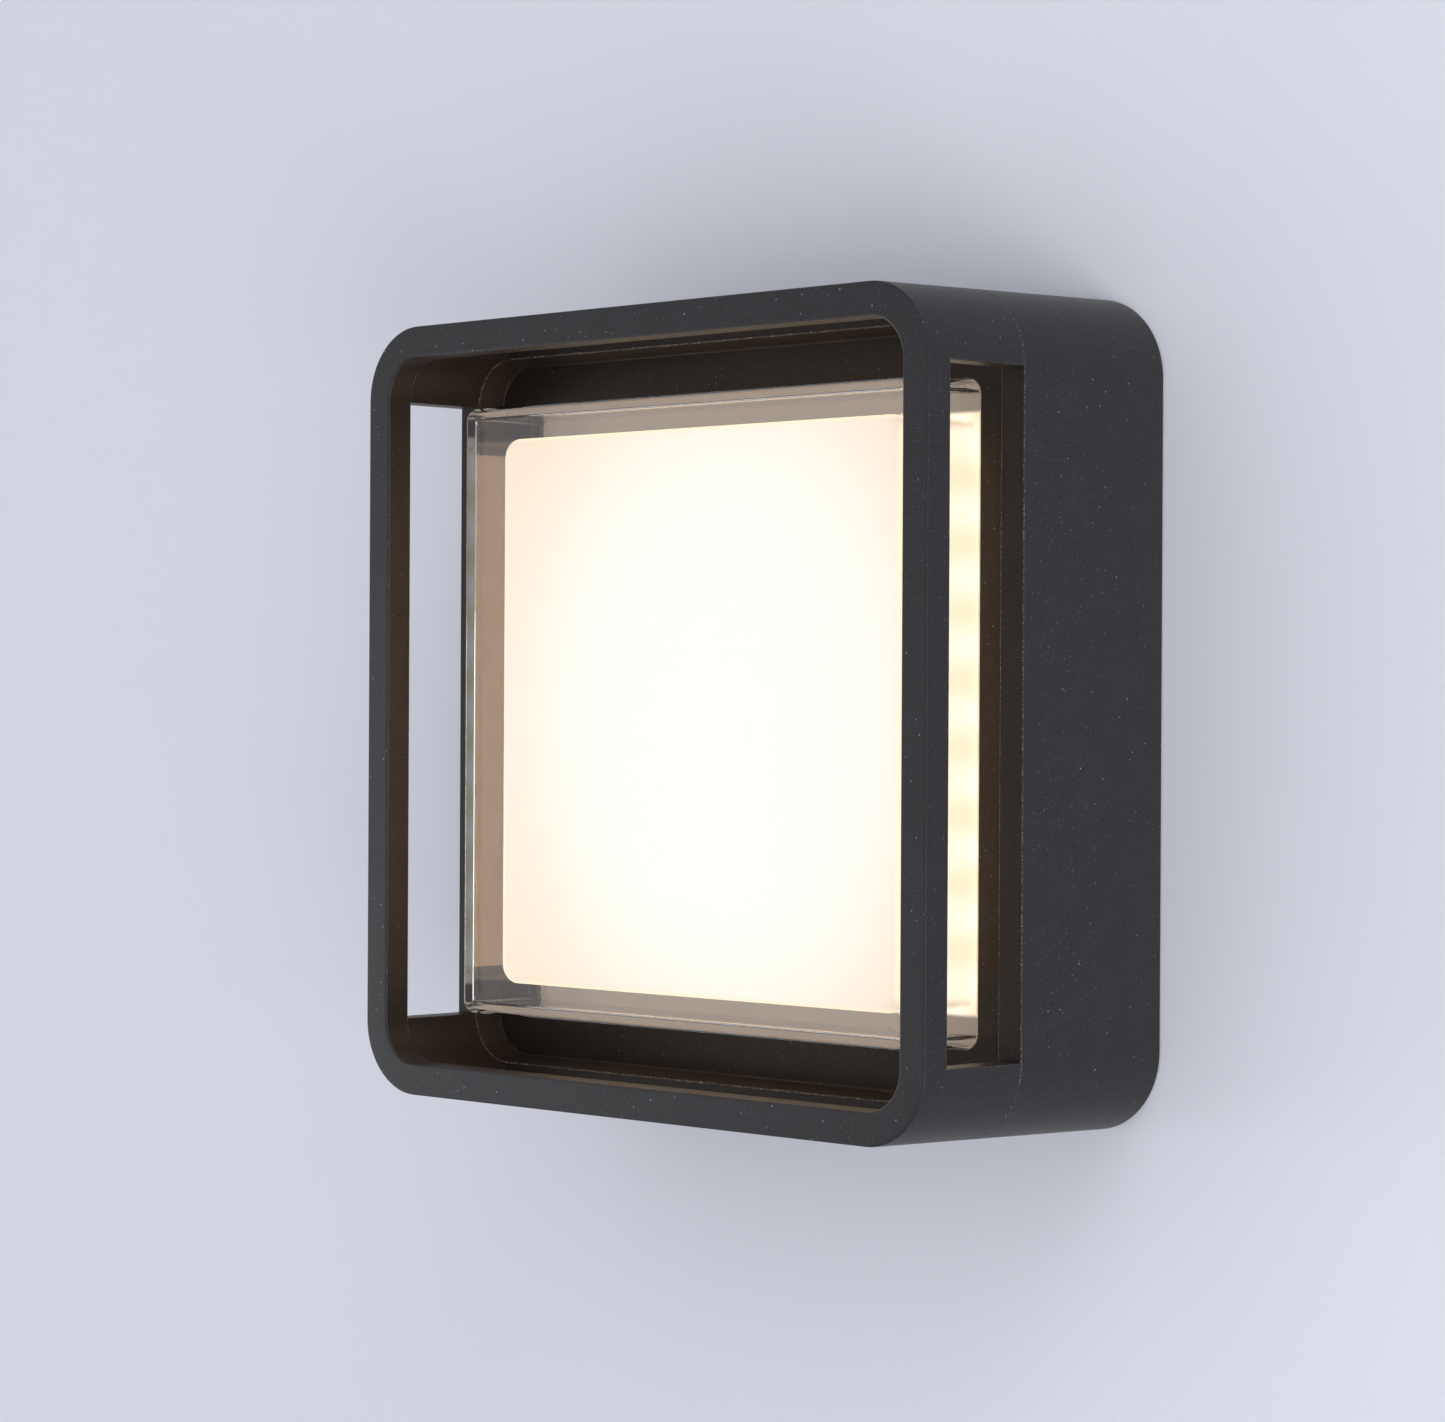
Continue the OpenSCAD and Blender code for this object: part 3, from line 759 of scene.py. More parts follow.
@dataclass(frozen=True)
class ClearPlastic(Finish):
    """Clear moulded plastic that bends what lies behind it and lets the lamp's light through."""

    tint: Colour = (0.985, 0.985, 0.98)
    index: float = 1.5
    ripple_start: float = 69.0
    ripple_end: float = 78.0
    most_mirrors: float = 2.5
    # Grey-blue darkening for paths trapped inside the plastic: painted shade.
    trapped_shade: Colour = (0.2, 0.23, 0.28)

    def make(self, effects: Effects) -> bpy.types.Material:
        """Returns the material, built with the shared effects."""
        material, tree, shader = self.start()
        ripple = use_group(tree, effects.grain, {"Grain mm": 2.2, "Wave mm": 9.0, "Wave share": 0.6})
        axes = tree.add("ShaderNodeSeparateXYZ", {0: object_place(tree)})
        sides = [tree.maths("ABSOLUTE", axes.outputs[i]) for i in (0, 2)]
        along = tree.maths("MINIMUM", sides[0], sides[1])
        corner = tree.ramp(along, self.ripple_start * MM, self.ripple_end * MM)
        height = tree.maths("MULTIPLY", ripple.outputs["Height"], span_of(tree, corner, 0.12, 1.0))
        shader.inputs["Base Color"].default_value = (*self.tint, 1.0)
        shader.inputs["Roughness"].default_value = 0.02
        shader.inputs["IOR"].default_value = self.index
        shader.inputs["Transmission Weight"].default_value = 1.0
        self.bump(tree, shader, height, 0.1)
        path = tree.add("ShaderNodeLightPath")
        passes = tree.maths("MAXIMUM", path.outputs["Is Shadow Ray"], path.outputs["Is Diffuse Ray"])
        trapped = tree.maths("GREATER_THAN", path.outputs["Glossy Depth"], self.most_mirrors)
        passes = tree.maths("MAXIMUM", passes, trapped)
        # Paths still reflecting inside the plastic after most_mirrors reflections go straight through, darkened to
        # grey-blue: painted shade in place of the light they would bring.
        clear = tree.add("ShaderNodeBsdfTransparent", {0: tree.blend(trapped, (1.0, 1.0, 1.0), self.trapped_shade)})
        mix = tree.add("ShaderNodeMixShader", {0: passes, 1: shader.outputs[0], 2: clear.outputs[0]})
        output = material.node_tree.nodes["Material Output"]
        tree.feed(output.inputs["Surface"], mix.outputs[0])
        return material


@dataclass(frozen=True)
class OpalPlastic(Finish):
    """Opal moulded plastic that glows: warmer towards its edges, with spots beside the LEDs."""

    colour: Colour = (0.4, 0.385, 0.36)
    middle: Colour = (0.73, 0.655, 0.578)
    edge: Colour = (0.68, 0.5, 0.345)
    side: Colour = (0.84, 0.69, 0.45)
    spot: Colour = (1.0, 0.86, 0.66)
    flange: Colour = (0.2, 0.16, 0.13)
    # Darker base colour of the flange: painted shade under the cover's flange.
    flange_shade: Colour = (0.12, 0.115, 0.11)
    strength: float = 1.15
    half: float = 71.2
    front: float = 59.5
    base: float = 37.0
    pitch: float = 16.3

    def make(self, effects: Effects) -> bpy.types.Material:
        """Returns the material, built with the shared effects."""
        material, tree, shader = self.start()
        grain = use_group(tree, effects.grain, {"Grain mm": 0.6, "Wave mm": 30.0, "Wave share": 0.4})
        axes = tree.add("ShaderNodeSeparateXYZ", {0: object_place(tree)})
        across = tree.maths("ABSOLUTE", axes.outputs[0])
        upward = tree.maths("ABSOLUTE", axes.outputs[2])
        reach = tree.maths("MAXIMUM", across, upward)
        along = tree.maths("MINIMUM", across, upward)
        depth = tree.maths("MULTIPLY", axes.outputs[1], -1.0)
        moved = tree.add("ShaderNodeVectorMath", {0: object_place(tree), 1: (-0.012, 0, 0)}, operation="ADD")
        flat = tree.add("ShaderNodeVectorMath", {0: moved.outputs[0], 1: (1, 0, 0.93)}, operation="MULTIPLY")
        away = tree.add("ShaderNodeVectorMath", {0: flat.outputs[0]}, operation="LENGTH").outputs["Value"]
        face = tree.blend(tree.ramp(away, 0.044, 0.1), self.middle, self.edge)
        beat = tree.maths("MULTIPLY", along, 2 * math.pi / (self.pitch * MM))
        crest = tree.maths("MULTIPLY", tree.maths("ADD", tree.maths("COSINE", beat), 1.0), 0.5)
        low = tree.ramp(depth, (self.front - 2) * MM, (self.base + 1) * MM)
        flank = tree.blend(tree.maths("MULTIPLY", crest, low), self.side, self.spot)
        sided = tree.ramp(reach, (self.half - 1.6) * MM, (self.half - 0.1) * MM)
        tone = tree.blend(sided, face, flank)
        beyond = tree.ramp(reach, (self.half + 0.7) * MM, (self.half + 2.2) * MM)
        tone = tree.blend(beyond, tone, self.flange)
        # The flange's base colour is darkened: painted shade.
        tree.feed(shader.inputs["Base Color"], tree.blend(beyond, self.colour, self.flange_shade))
        tree.feed(shader.inputs["Roughness"], span_of(tree, beyond, 0.45, 0.9))
        tree.feed(shader.inputs["Emission Color"], tone)
        shader.inputs["Emission Strength"].default_value = self.strength
        self.bump(tree, shader, grain.outputs["Height"], 0.02)
        return material


@dataclass(frozen=True)
class Moulded(Finish):
    """Moulded plastic, rubber or foam with a fine grain and a slow change of tone."""

    colour: Colour = (0.5, 0.5, 0.5)
    roughness: float = 0.5
    grain_mm: float = 0.5
    relief_mm: float = 0.02
    speckle: float = 0.1

    def make(self, effects: Effects) -> bpy.types.Material:
        """Returns the material, built with the shared effects."""
        material, tree, shader = self.start()
        grain = use_group(tree, effects.grain, {"Grain mm": self.grain_mm, "Wave mm": 12.0, "Wave share": 0.25})
        specks = use_group(tree, effects.specks, {"Cell mm": 2.6, "Share": 0.25, "Radius": 0.08})
        tone = tree.blend(tree.ramp(grain.outputs["Shift"], 0.3, 0.7), tuple(0.9 * c for c in self.colour), tuple(min(1.0, 1.08 * c) for c in self.colour))
        tone = tree.blend(tree.maths("MULTIPLY", specks.outputs["Mask"], self.speckle), tone, (0.6, 0.6, 0.58))
        tree.feed(shader.inputs["Base Color"], tone)
        rough = tree.add("ShaderNodeMapRange", {"Value": grain.outputs["Height"], "To Min": self.roughness - 0.06, "To Max": self.roughness + 0.08})
        tree.feed(shader.inputs["Roughness"], rough.outputs["Result"])
        self.bump(tree, shader, grain.outputs["Height"], self.relief_mm)
        return material


@dataclass(frozen=True)
class BareMetal(Finish):
    """Bare or plated metal with drawn streaks and a slow change of tone."""

    colour: Colour = (0.6, 0.6, 0.6)
    roughness: float = 0.35
    streak_mm: float = 0.15
    patch_mm: float = 8.0
    patchy: float = 0.12

    def make(self, effects: Effects) -> bpy.types.Material:
        """Returns the material, built with the shared effects."""
        material, tree, shader = self.start()
        grain = use_group(tree, effects.grain, {"Grain mm": 0.4, "Wave mm": self.patch_mm, "Wave share": 0.5})
        streak = use_group(tree, effects.streaks, {"Width mm": self.streak_mm, "Length mm": 20.0})
        wear = use_group(tree, effects.wear, {"Patch mm": 1.0, "Amount": 0.6})
        dull = tuple((1 - self.patchy) * c for c in self.colour)
        bright = tuple(min(1.0, (1 + self.patchy) * c) for c in self.colour)
        tone = tree.blend(tree.ramp(grain.outputs["Shift"], 0.3, 0.7), dull, bright)
        tone = tree.blend(tree.maths("MULTIPLY", wear.outputs["Mask"], 0.4), tone, (0.9, 0.9, 0.9))
        tree.feed(shader.inputs["Base Color"], tone)
        shader.inputs["Metallic"].default_value = 1.0
        rough = tree.add("ShaderNodeMapRange", {"Value": streak.outputs["Streak"], "To Min": self.roughness - 0.1, "To Max": self.roughness + 0.15})
        tree.feed(shader.inputs["Roughness"], rough.outputs["Result"])
        height = tree.maths("ADD", streak.outputs["Streak"], tree.maths("MULTIPLY", grain.outputs["Height"], 0.4))
        self.bump(tree, shader, height, 0.008)
        return material


@dataclass(frozen=True)
class CircuitGreen(Finish):
    """Green solder resist with copper tracks that show through as lighter lines."""

    colour: Colour = (0.012, 0.12, 0.04)
    track: Colour = (0.03, 0.24, 0.08)

    def make(self, effects: Effects) -> bpy.types.Material:
        """Returns the material, built with the shared effects."""
        material, tree, shader = self.start()
        brick = tree.add(
            "ShaderNodeTexBrick",
            {"Vector": object_place(tree), "Scale": 120.0, "Color1": (0, 0, 0, 1), "Color2": (0, 0, 0, 1), "Mortar": (1, 1, 1, 1), "Mortar Size": 0.06},
        )
        grain = use_group(tree, effects.grain, {"Grain mm": 0.3, "Wave mm": 8.0, "Wave share": 0.4})
        tree.feed(shader.inputs["Base Color"], tree.blend(brick.outputs["Color"], self.colour, self.track))
        rough = tree.add("ShaderNodeMapRange", {"Value": grain.outputs["Height"], "To Min": 0.22, "To Max": 0.36})
        tree.feed(shader.inputs["Roughness"], rough.outputs["Result"])
        self.bump(tree, shader, brick.outputs["Fac"], 0.03)
        return material


class Slot(Enum):
    """The record's material slots."""

    COAT = "anthracite_coat"
    ZINC = "zinc_steel"
    SCREW = "screw_steel"
    FOAM = "seal_foam"
    SILICONE = "seal_silicone"
    CLEAR = "clear_plastic"
    OPAL = "opal_plastic"
    BOARD = "board_white"
    PHOSPHOR = "led_phosphor"
    ALUMINIUM = "raw_aluminium"
    RUBBER = "bush_rubber"
    DRIVER = "driver_plastic"
    CIRCUIT = "circuit_green"
    COMPONENT = "component_body"
    TERMINAL = "terminal_plastic"
    BRASS = "brass"
    MAINS = "mains_insulation"
    EARTH = "earth_insulation"
    LED_WIRE = "led_insulation"


class Palette:
    """Every finish of the lamp, made once and looked up by slot."""

    def __init__(self) -> None:
        """Makes the finishes."""
        effects = Effects()
        finishes = {
            Slot.COAT: PowderCoat("powder_coat"),
            Slot.ZINC: BareMetal("zinc_plate", (0.6, 0.62, 0.64), 0.36, 0.3, 7.0, 0.1),
            Slot.SCREW: BareMetal("screw_plate", (0.62, 0.62, 0.63), 0.28, 0.08, 2.0, 0.08),
            Slot.FOAM: Moulded("closed_foam", grey(0.03), 0.85, 0.5, 0.12, 0.3),
            Slot.SILICONE: Moulded("silicone", grey(0.05), 0.5, 0.8, 0.02, 0.15),
            Slot.CLEAR: ClearPlastic("clear_cover_plastic"),
            Slot.OPAL: OpalPlastic("opal_plastic"),
            Slot.BOARD: Moulded("solder_mask_white", grey(0.82), 0.35, 0.3, 0.01, 0.05),
            Slot.PHOSPHOR: Moulded("phosphor", (0.85, 0.66, 0.12), 0.3, 0.2, 0.01, 0.0),
            Slot.ALUMINIUM: BareMetal("rolled_aluminium", (0.72, 0.73, 0.74), 0.34, 0.12, 14.0, 0.07),
            Slot.RUBBER: Moulded("bush_rubber", grey(0.022), 0.6, 0.4, 0.03, 0.25),
            Slot.DRIVER: Moulded("driver_plastic", grey(0.68, 0.01), 0.42, 0.35, 0.02, 0.1),
            Slot.CIRCUIT: CircuitGreen("circuit_board"),
            Slot.COMPONENT: Moulded("component_body", (0.5, 0.27, 0.05), 0.35, 0.3, 0.02, 0.1),
            Slot.TERMINAL: Moulded("terminal_plastic", grey(0.7, 0.04), 0.38, 0.35, 0.02, 0.1),
            Slot.BRASS: BareMetal("brass", (0.78, 0.58, 0.26), 0.3, 0.1, 3.0, 0.1),
            Slot.MAINS: Moulded("mains_insulation", (0.14, 0.05, 0.02), 0.38, 0.6, 0.01, 0.1),
            Slot.EARTH: Moulded("earth_insulation", (0.28, 0.42, 0.03), 0.38, 0.6, 0.01, 0.1),
            Slot.LED_WIRE: Moulded("led_insulation", (0.5, 0.02, 0.02), 0.38, 0.6, 0.01, 0.1),
        }
        self.materials = {slot: finish.make(effects) for slot, finish in finishes.items()}
        # A darker copy of the coat, with a warm gloss tint, a lower gloss and fewer dust specks, for the faces within
        # the cage: painted shade of the recess and a painted warm reflection of the lamp's glow.
        shaded_copy = PowderCoat("thin_powder_coat", (0.0119, 0.0097, 0.0087), shine=0.25, tint=(0.78, 0.69, 0.56), dusty=0.35)
        self.shaded_coat = shaded_copy.make(effects)

    def dress(self, obj: bpy.types.Object, slot: Slot) -> bpy.types.Object:
        """Gives an object one finish all over.

        Args:
            obj: the object.
            slot: the finish.

        Returns:
            The same object.
        """
        obj.data.materials.clear()
        obj.data.materials.append(self.materials[slot])
        return obj


def hand_over(obj: bpy.types.Object, node: str, slot: Slot, palette: Palette, body: str = "lamp") -> bpy.types.Object:
    """Dresses a finished piece and puts it in the place of its CAD node.

    Args:
        obj: the finished piece.
        node: the CAD node it stands for.
        slot: its finish.
        palette: the finishes.
        body: the body it moves with.

    Returns:
        The same object.
    """
    if not obj.data.materials:
        palette.dress(obj, slot)
    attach(obj, body)
    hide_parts(node)
    return obj


# ---------------------------------------------------------------- geometry node trees


def new_shape_tree(name: str, takes: dict[str, tuple[Socket, object]]) -> tuple[bpy.types.NodeTree, Tree, dict, object]:
    """Starts a Geometry Nodes tree.

    Args:
        name: the tree's name.
        takes: its inputs after the geometry, each with its kind and usual value.

    Returns:
        The group, its tree, its input sockets by name, and its output node.
    """
    group = bpy.data.node_groups.new(name, "GeometryNodeTree")
    group.interface.new_socket(name="Geometry", in_out="INPUT", socket_type=Socket.SHAPE.value)
    for label, (kind, value) in takes.items():
        socket = group.interface.new_socket(name=label, in_out="INPUT", socket_type=kind.value)
        if value is not None:
            socket.default_value = value
    group.interface.new_socket(name="Geometry", in_out="OUTPUT", socket_type=Socket.SHAPE.value)
    tree = Tree(group)
    entry = tree.add("NodeGroupInput")
    result = tree.add("NodeGroupOutput")
    return group, tree, {s.name: s for s in entry.outputs}, result


def run_tree(obj: bpy.types.Object, group: bpy.types.NodeTree, values: dict[str, object]) -> bpy.types.Object:
    """Runs a Geometry Nodes tree on an object and keeps the result as a plain mesh.

    Args:
        obj: the object that carries the tree's starting points.
        group: the tree.
        values: values for its inputs, by name.

    Returns:
        The same object.
    """
    modifier = obj.modifiers.new(group.name, "NODES")
    modifier.node_group = group
    keys = {item.name: item.identifier for item in group.interface.items_tree if item.in_out == "INPUT"}
    for label, value in values.items():
        modifier[keys[label]] = value
    return bake_modifiers(obj)


def point_cloud(name: str, points: Sequence[Vector]) -> bpy.types.Object:
    """Returns an object whose vertices are the given points in metres.

    Args:
        name: the object's name.
        points: where the vertices lie.
    """
    mesh = bpy.data.meshes.new(name)
    mesh.from_pydata([tuple(p) for p in points], [], [])
    return link_mesh(name, mesh)


class SealTree:
    """A square seal with round corners, swept along its own path."""

    def __init__(self) -> None:
        """Builds the tree."""
        number = Socket.NUMBER
        self.group, tree, given, result = new_shape_tree(
            "swept_seal",
            {
                "Half width": (number, 0.09),
                "Corner radius": (number, 0.01),
                "Section width": (number, 0.002),
                "Section height": (number, 0.002),
                "Section rounding": (number, 0.0004),
                "Depth": (number, 0.0),
                "Finish": (Socket.FINISH, None),
            },
        )
        width = tree.maths("MULTIPLY", given["Half width"], 2.0)
        path = self.rounded(tree, width, width, given["Corner radius"], 16)
        section = self.rounded(tree, given["Section width"], given["Section height"], given["Section rounding"], 3)
        swept = tree.add("GeometryNodeCurveToMesh", {"Curve": path, "Profile Curve": section})
        back = tree.maths("MULTIPLY", given["Depth"], -1.0)
        offset = tree.add("ShaderNodeCombineXYZ", {1: back})
        turned = tree.add("GeometryNodeTransform", {"Geometry": swept.outputs[0], "Rotation": (math.pi / 2, 0, 0)})
        moved = tree.add("GeometryNodeTransform", {"Geometry": turned.outputs[0], "Translation": offset.outputs[0]})
        real = tree.add("GeometryNodeRealizeInstances", {"Geometry": moved.outputs[0]})
        dressed = tree.add("GeometryNodeSetMaterial", {"Geometry": real.outputs[0], "Material": given["Finish"]})
        tree.feed(result.inputs[0], dressed.outputs[0])

    @staticmethod
    def rounded(tree: Tree, width: object, height: object, radius: object, count: int) -> bpy.types.NodeSocket:
        """Returns a rectangle curve with rounded corners.

        Args:
            tree: the tree.
            width: its width.
            height: its height.
            radius: its corner radius.
            count: how many points round each corner.
        """
        frame = tree.add("GeometryNodeCurvePrimitiveQuadrilateral", {"Width": width, "Height": height})
        values = {"Curve": frame.outputs[0], "Radius": radius, "Count": count}
        return tree.add("GeometryNodeFilletCurve", values, mode="POLY").outputs[0]


class ScrewTree:
    """Copies of one screw at every point, each turned by its own seeded angle."""

    def __init__(self) -> None:
        """Builds the tree."""
        self.group, tree, given, result = new_shape_tree(
            "screw_copies",
            {"Screw": (Socket.PIECE, None), "Seed": (Socket.WHOLE, 1), "Finish": (Socket.FINISH, None)},
        )
        screw = tree.add("GeometryNodeObjectInfo", {"Object": given["Screw"]}, transform_space="ORIGINAL")
        turn = tree.add("FunctionNodeRandomValue", data_type="FLOAT")
        floats = [s for s in turn.inputs if s.enabled and s.name in ("Min", "Max")]
        tree.feed(floats[0], 0.0)
        tree.feed(floats[1], 2 * math.pi)
        tree.feed(turn.inputs["Seed"], given["Seed"])
        angle = [s for s in turn.outputs if s.enabled][0]
        spin = tree.add("ShaderNodeCombineXYZ", {1: angle})
        copies = tree.add(
            "GeometryNodeInstanceOnPoints",
            {"Points": given["Geometry"], "Instance": screw.outputs["Geometry"], "Rotation": spin.outputs[0]},
        )
        real = tree.add("GeometryNodeRealizeInstances", {"Geometry": copies.outputs[0]})
        dressed = tree.add("GeometryNodeSetMaterial", {"Geometry": real.outputs[0], "Material": given["Finish"]})
        tree.feed(result.inputs[0], dressed.outputs[0])


class LedTree:
    """A square field of LEDs that keeps only some of its rings."""

    def __init__(self) -> None:
        """Builds the tree."""
        self.group, tree, given, result = new_shape_tree(
            "led_field",
            {
                "LED": (Socket.PIECE, None),
                "Pitch": (Socket.NUMBER, 0.016),
                "Reach": (Socket.WHOLE, 4),
                "Depth": (Socket.NUMBER, 0.036),
            },
        )
        count = tree.maths("ADD", tree.maths("MULTIPLY", given["Reach"], 2.0), 1.0)
        size = tree.maths("MULTIPLY", tree.maths("MULTIPLY", given["Reach"], 2.0), given["Pitch"])
        field_mesh = tree.add(
            "GeometryNodeMeshGrid", {"Size X": size, "Size Y": size, "Vertices X": count, "Vertices Y": count}
        )
        where = tree.add("ShaderNodeSeparateXYZ", {0: tree.add("GeometryNodeInputPosition").outputs[0]})
        out = tree.maths(
            "MAXIMUM", tree.maths("ABSOLUTE", where.outputs[0]), tree.maths("ABSOLUTE", where.outputs[1])
        )
        ring = tree.maths("ROUND", tree.maths("DIVIDE", out, given["Pitch"]))
        half = tree.maths("DIVIDE", given["Reach"], 2.0)
        away = tree.maths("MINIMUM", self.gap(tree, ring, given["Reach"]), self.gap(tree, ring, half))
        spare = tree.maths("GREATER_THAN", away, 0.5)
        kept = tree.add(
            "GeometryNodeDeleteGeometry", {"Geometry": field_mesh.outputs["Mesh"], "Selection": spare}, domain="POINT"
        )
        back = tree.maths("MULTIPLY", given["Depth"], -1.0)
        offset = tree.add("ShaderNodeCombineXYZ", {1: back})
        upright = tree.add("GeometryNodeTransform", {"Geometry": kept.outputs[0], "Rotation": (math.pi / 2, 0, 0)})
        moved = tree.add("GeometryNodeTransform", {"Geometry": upright.outputs[0], "Translation": offset.outputs[0]})
        led = tree.add("GeometryNodeObjectInfo", {"Object": given["LED"]}, transform_space="ORIGINAL")
        copies = tree.add(
            "GeometryNodeInstanceOnPoints", {"Points": moved.outputs[0], "Instance": led.outputs["Geometry"]}
        )
        real = tree.add("GeometryNodeRealizeInstances", {"Geometry": copies.outputs[0]})
        tree.feed(result.inputs[0], real.outputs[0])

    @staticmethod
    def gap(tree: Tree, ring: object, wanted: object) -> bpy.types.NodeSocket:
        """Returns how many rings lie between a ring and the wanted one."""
        return tree.maths("ABSOLUTE", tree.maths("SUBTRACT", ring, wanted))


# ---------------------------------------------------------------- sub-assemblies


@dataclass
class Casing:
    """The sizes that the two castings share, in millimetres."""

    corner_span: float = 81.2
    corner_radius: float = 18.8
    draft: float = 0.02
    ledge_radius: float = 12.148
    step_radius: float = 10.698
    cover_span: float = 76.0
    opening_radius: float = 4.1
    cavity_radius: float = 15.86
    front: float = field(init=False)
    seam: float = field(init=False)
    floor_front: float = 42.1
    floor_back: float = 39.1
    skin: float = 0.9

    def __post_init__(self) -> None:
        """Reads the depths from the frame."""
        self.seam, self.front = depth_range("front_frame")

    def outer(self, depth: float) -> float:
        """Returns the outer corner radius at a depth."""
        return self.corner_radius + self.draft * (self.front - depth)

    def loop(self, radius: float, depth: float, rounding: float = 0.0) -> Loop:
        """Returns a loop about the casing's corner centres."""
        return Loop(self.corner_span, radius, depth, rounding)

    def coat(self, obj: bpy.types.Object, palette: "Palette") -> None:
        """Gives a casting its coat, and on the faces within the cage a darker copy with a warm gloss tint, as painted
        shade of the recess and a painted reflection of the lamp's glow.

        Args:
            obj: the casting.
            palette: the finishes.
        """
        palette.dress(obj, Slot.COAT)
        obj.data.materials.append(palette.shaded_coat)
        for face in obj.data.polygons:
            x, y, z = face.center / MM
            reach = math.hypot(max(abs(x) - self.corner_span, 0), max(abs(z) - self.corner_span, 0))
            # Faces within the cage take the darker copy: painted shade.
            if reach < self.corner_radius - self.skin and -y < self.front - self.skin:
                face.material_index = 1


@dataclass
class FrontFrame:
    """The open cage: a square ring on four corner pillars."""

    casing: Casing
    layout: "Layout"
    bar_width: float = 8.1
    bar_depth: float = 7.5
    front_rounding: float = 0.6
    inner_rounding: float = 0.55
    window_rounding: float = 0.35
    foot_rounding: float = 0.28

    def build(self, palette: Palette) -> bpy.types.Object:
        """Returns the finished cage.

        Args:
            palette: the finishes.
        """
        case = self.casing
        back = case.front - self.bar_depth
        inner = case.corner_radius - self.bar_width
        loft = Loft("cage")
        steps = loft.corner_steps
        ring_loops = [
            case.loop(case.outer(back), back, 0),
            case.loop(case.outer(case.front), case.front, self.front_rounding),
            case.loop(inner, case.front, self.inner_rounding),
            case.loop(inner, back, 0),
        ]
        rows = [loft.row(loop) for loop in ring_loops]
        for first, second in zip(rows, rows[1:]):
            loft.band(first, second)
        loft.round_rows(rows, ring_loops)
        outer_row, inner_row = rows[0], rows[3]
        count = len(outer_row)
        per_corner = count // 4
        for corner in range(4):
            base = corner * per_corner
            self.pillar(loft, corner, outer_row[base : base + steps + 1], inner_row[base : base + steps + 1], back)
            for i in range(base + steps, base + per_corner):
                j = (i + 1) % count
                loft.bm.faces.new((outer_row[i], outer_row[j], inner_row[j], inner_row[i]))
                loft.round_edge(outer_row[i], outer_row[j], self.window_rounding)
                loft.round_edge(inner_row[i], inner_row[j], self.window_rounding)
        obj = loft.rounded(4)
        self.drill(obj)
        smooth(obj)
        mark_edges(obj)
        case.coat(obj, palette)
        return hand_over(obj, "front_frame", Slot.COAT, palette)

    def drill(self, obj: bpy.types.Object) -> None:
        """Drills the screw holes in the feet of the pillars.

        Args:
            obj: the cage.
        """
        place_out = self.layout.frame_screw
        start = self.casing.seam - 1
        drills = [peg("drill", x, z, self.layout.screw_hole, start, 59.7, 20) for x, z in corners(place_out, place_out)]
        combine(obj, drills, "DIFFERENCE")

    def pillar(self, loft: Loft, corner: int, outer_top: list, inner_top: list, back: float) -> None:
        """Adds one corner pillar below the ring.

        Args:
            loft: the loft that holds the ring.
            corner: which corner, 0 to 3.
            outer_top: the ring's outer back vertices round that corner.
            inner_top: the ring's inner back vertices round that corner.
            back: the depth of the ring's back face.
        """
        case = self.casing
        steps = loft.corner_steps
        angles = [90 * i / steps for i in range(steps + 1)]

        def arc(radius: float, depth: float) -> list:
            """Returns the vertices of this corner's arc."""
            loop = case.loop(radius, depth)
            return [loft.bm.verts.new(loop.point(corner, a)) for a in angles]

        outer_foot = arc(case.outer(case.seam), case.seam)
        inner_foot = arc(case.ledge_radius, case.seam)
        inner_head = arc(case.ledge_radius, back)
        strips = [outer_top, outer_foot, inner_foot, inner_head, inner_top]
        for first, second in zip(strips, strips[1:]):
            for i in range(steps):
                loft.bm.faces.new((first[i], first[i + 1], second[i + 1], second[i]))
        for end in (0, steps):
            loft.bm.faces.new((outer_top[end], outer_foot[end], inner_foot[end], inner_head[end]))
            loft.bm.faces.new((outer_top[end], inner_head[end], inner_top[end]))
            loft.round_edge(outer_top[end], outer_foot[end], self.window_rounding)
            loft.round_edge(inner_foot[end], inner_head[end], self.window_rounding)
            loft.round_edge(outer_foot[end], inner_foot[end], self.foot_rounding)
        for i in range(steps):
            loft.round_edge(outer_foot[i], outer_foot[i + 1], self.foot_rounding)
            loft.round_edge(inner_foot[i], inner_foot[i + 1], self.foot_rounding)
            loft.round_edge(inner_top[i], inner_top[i + 1], self.window_rounding)


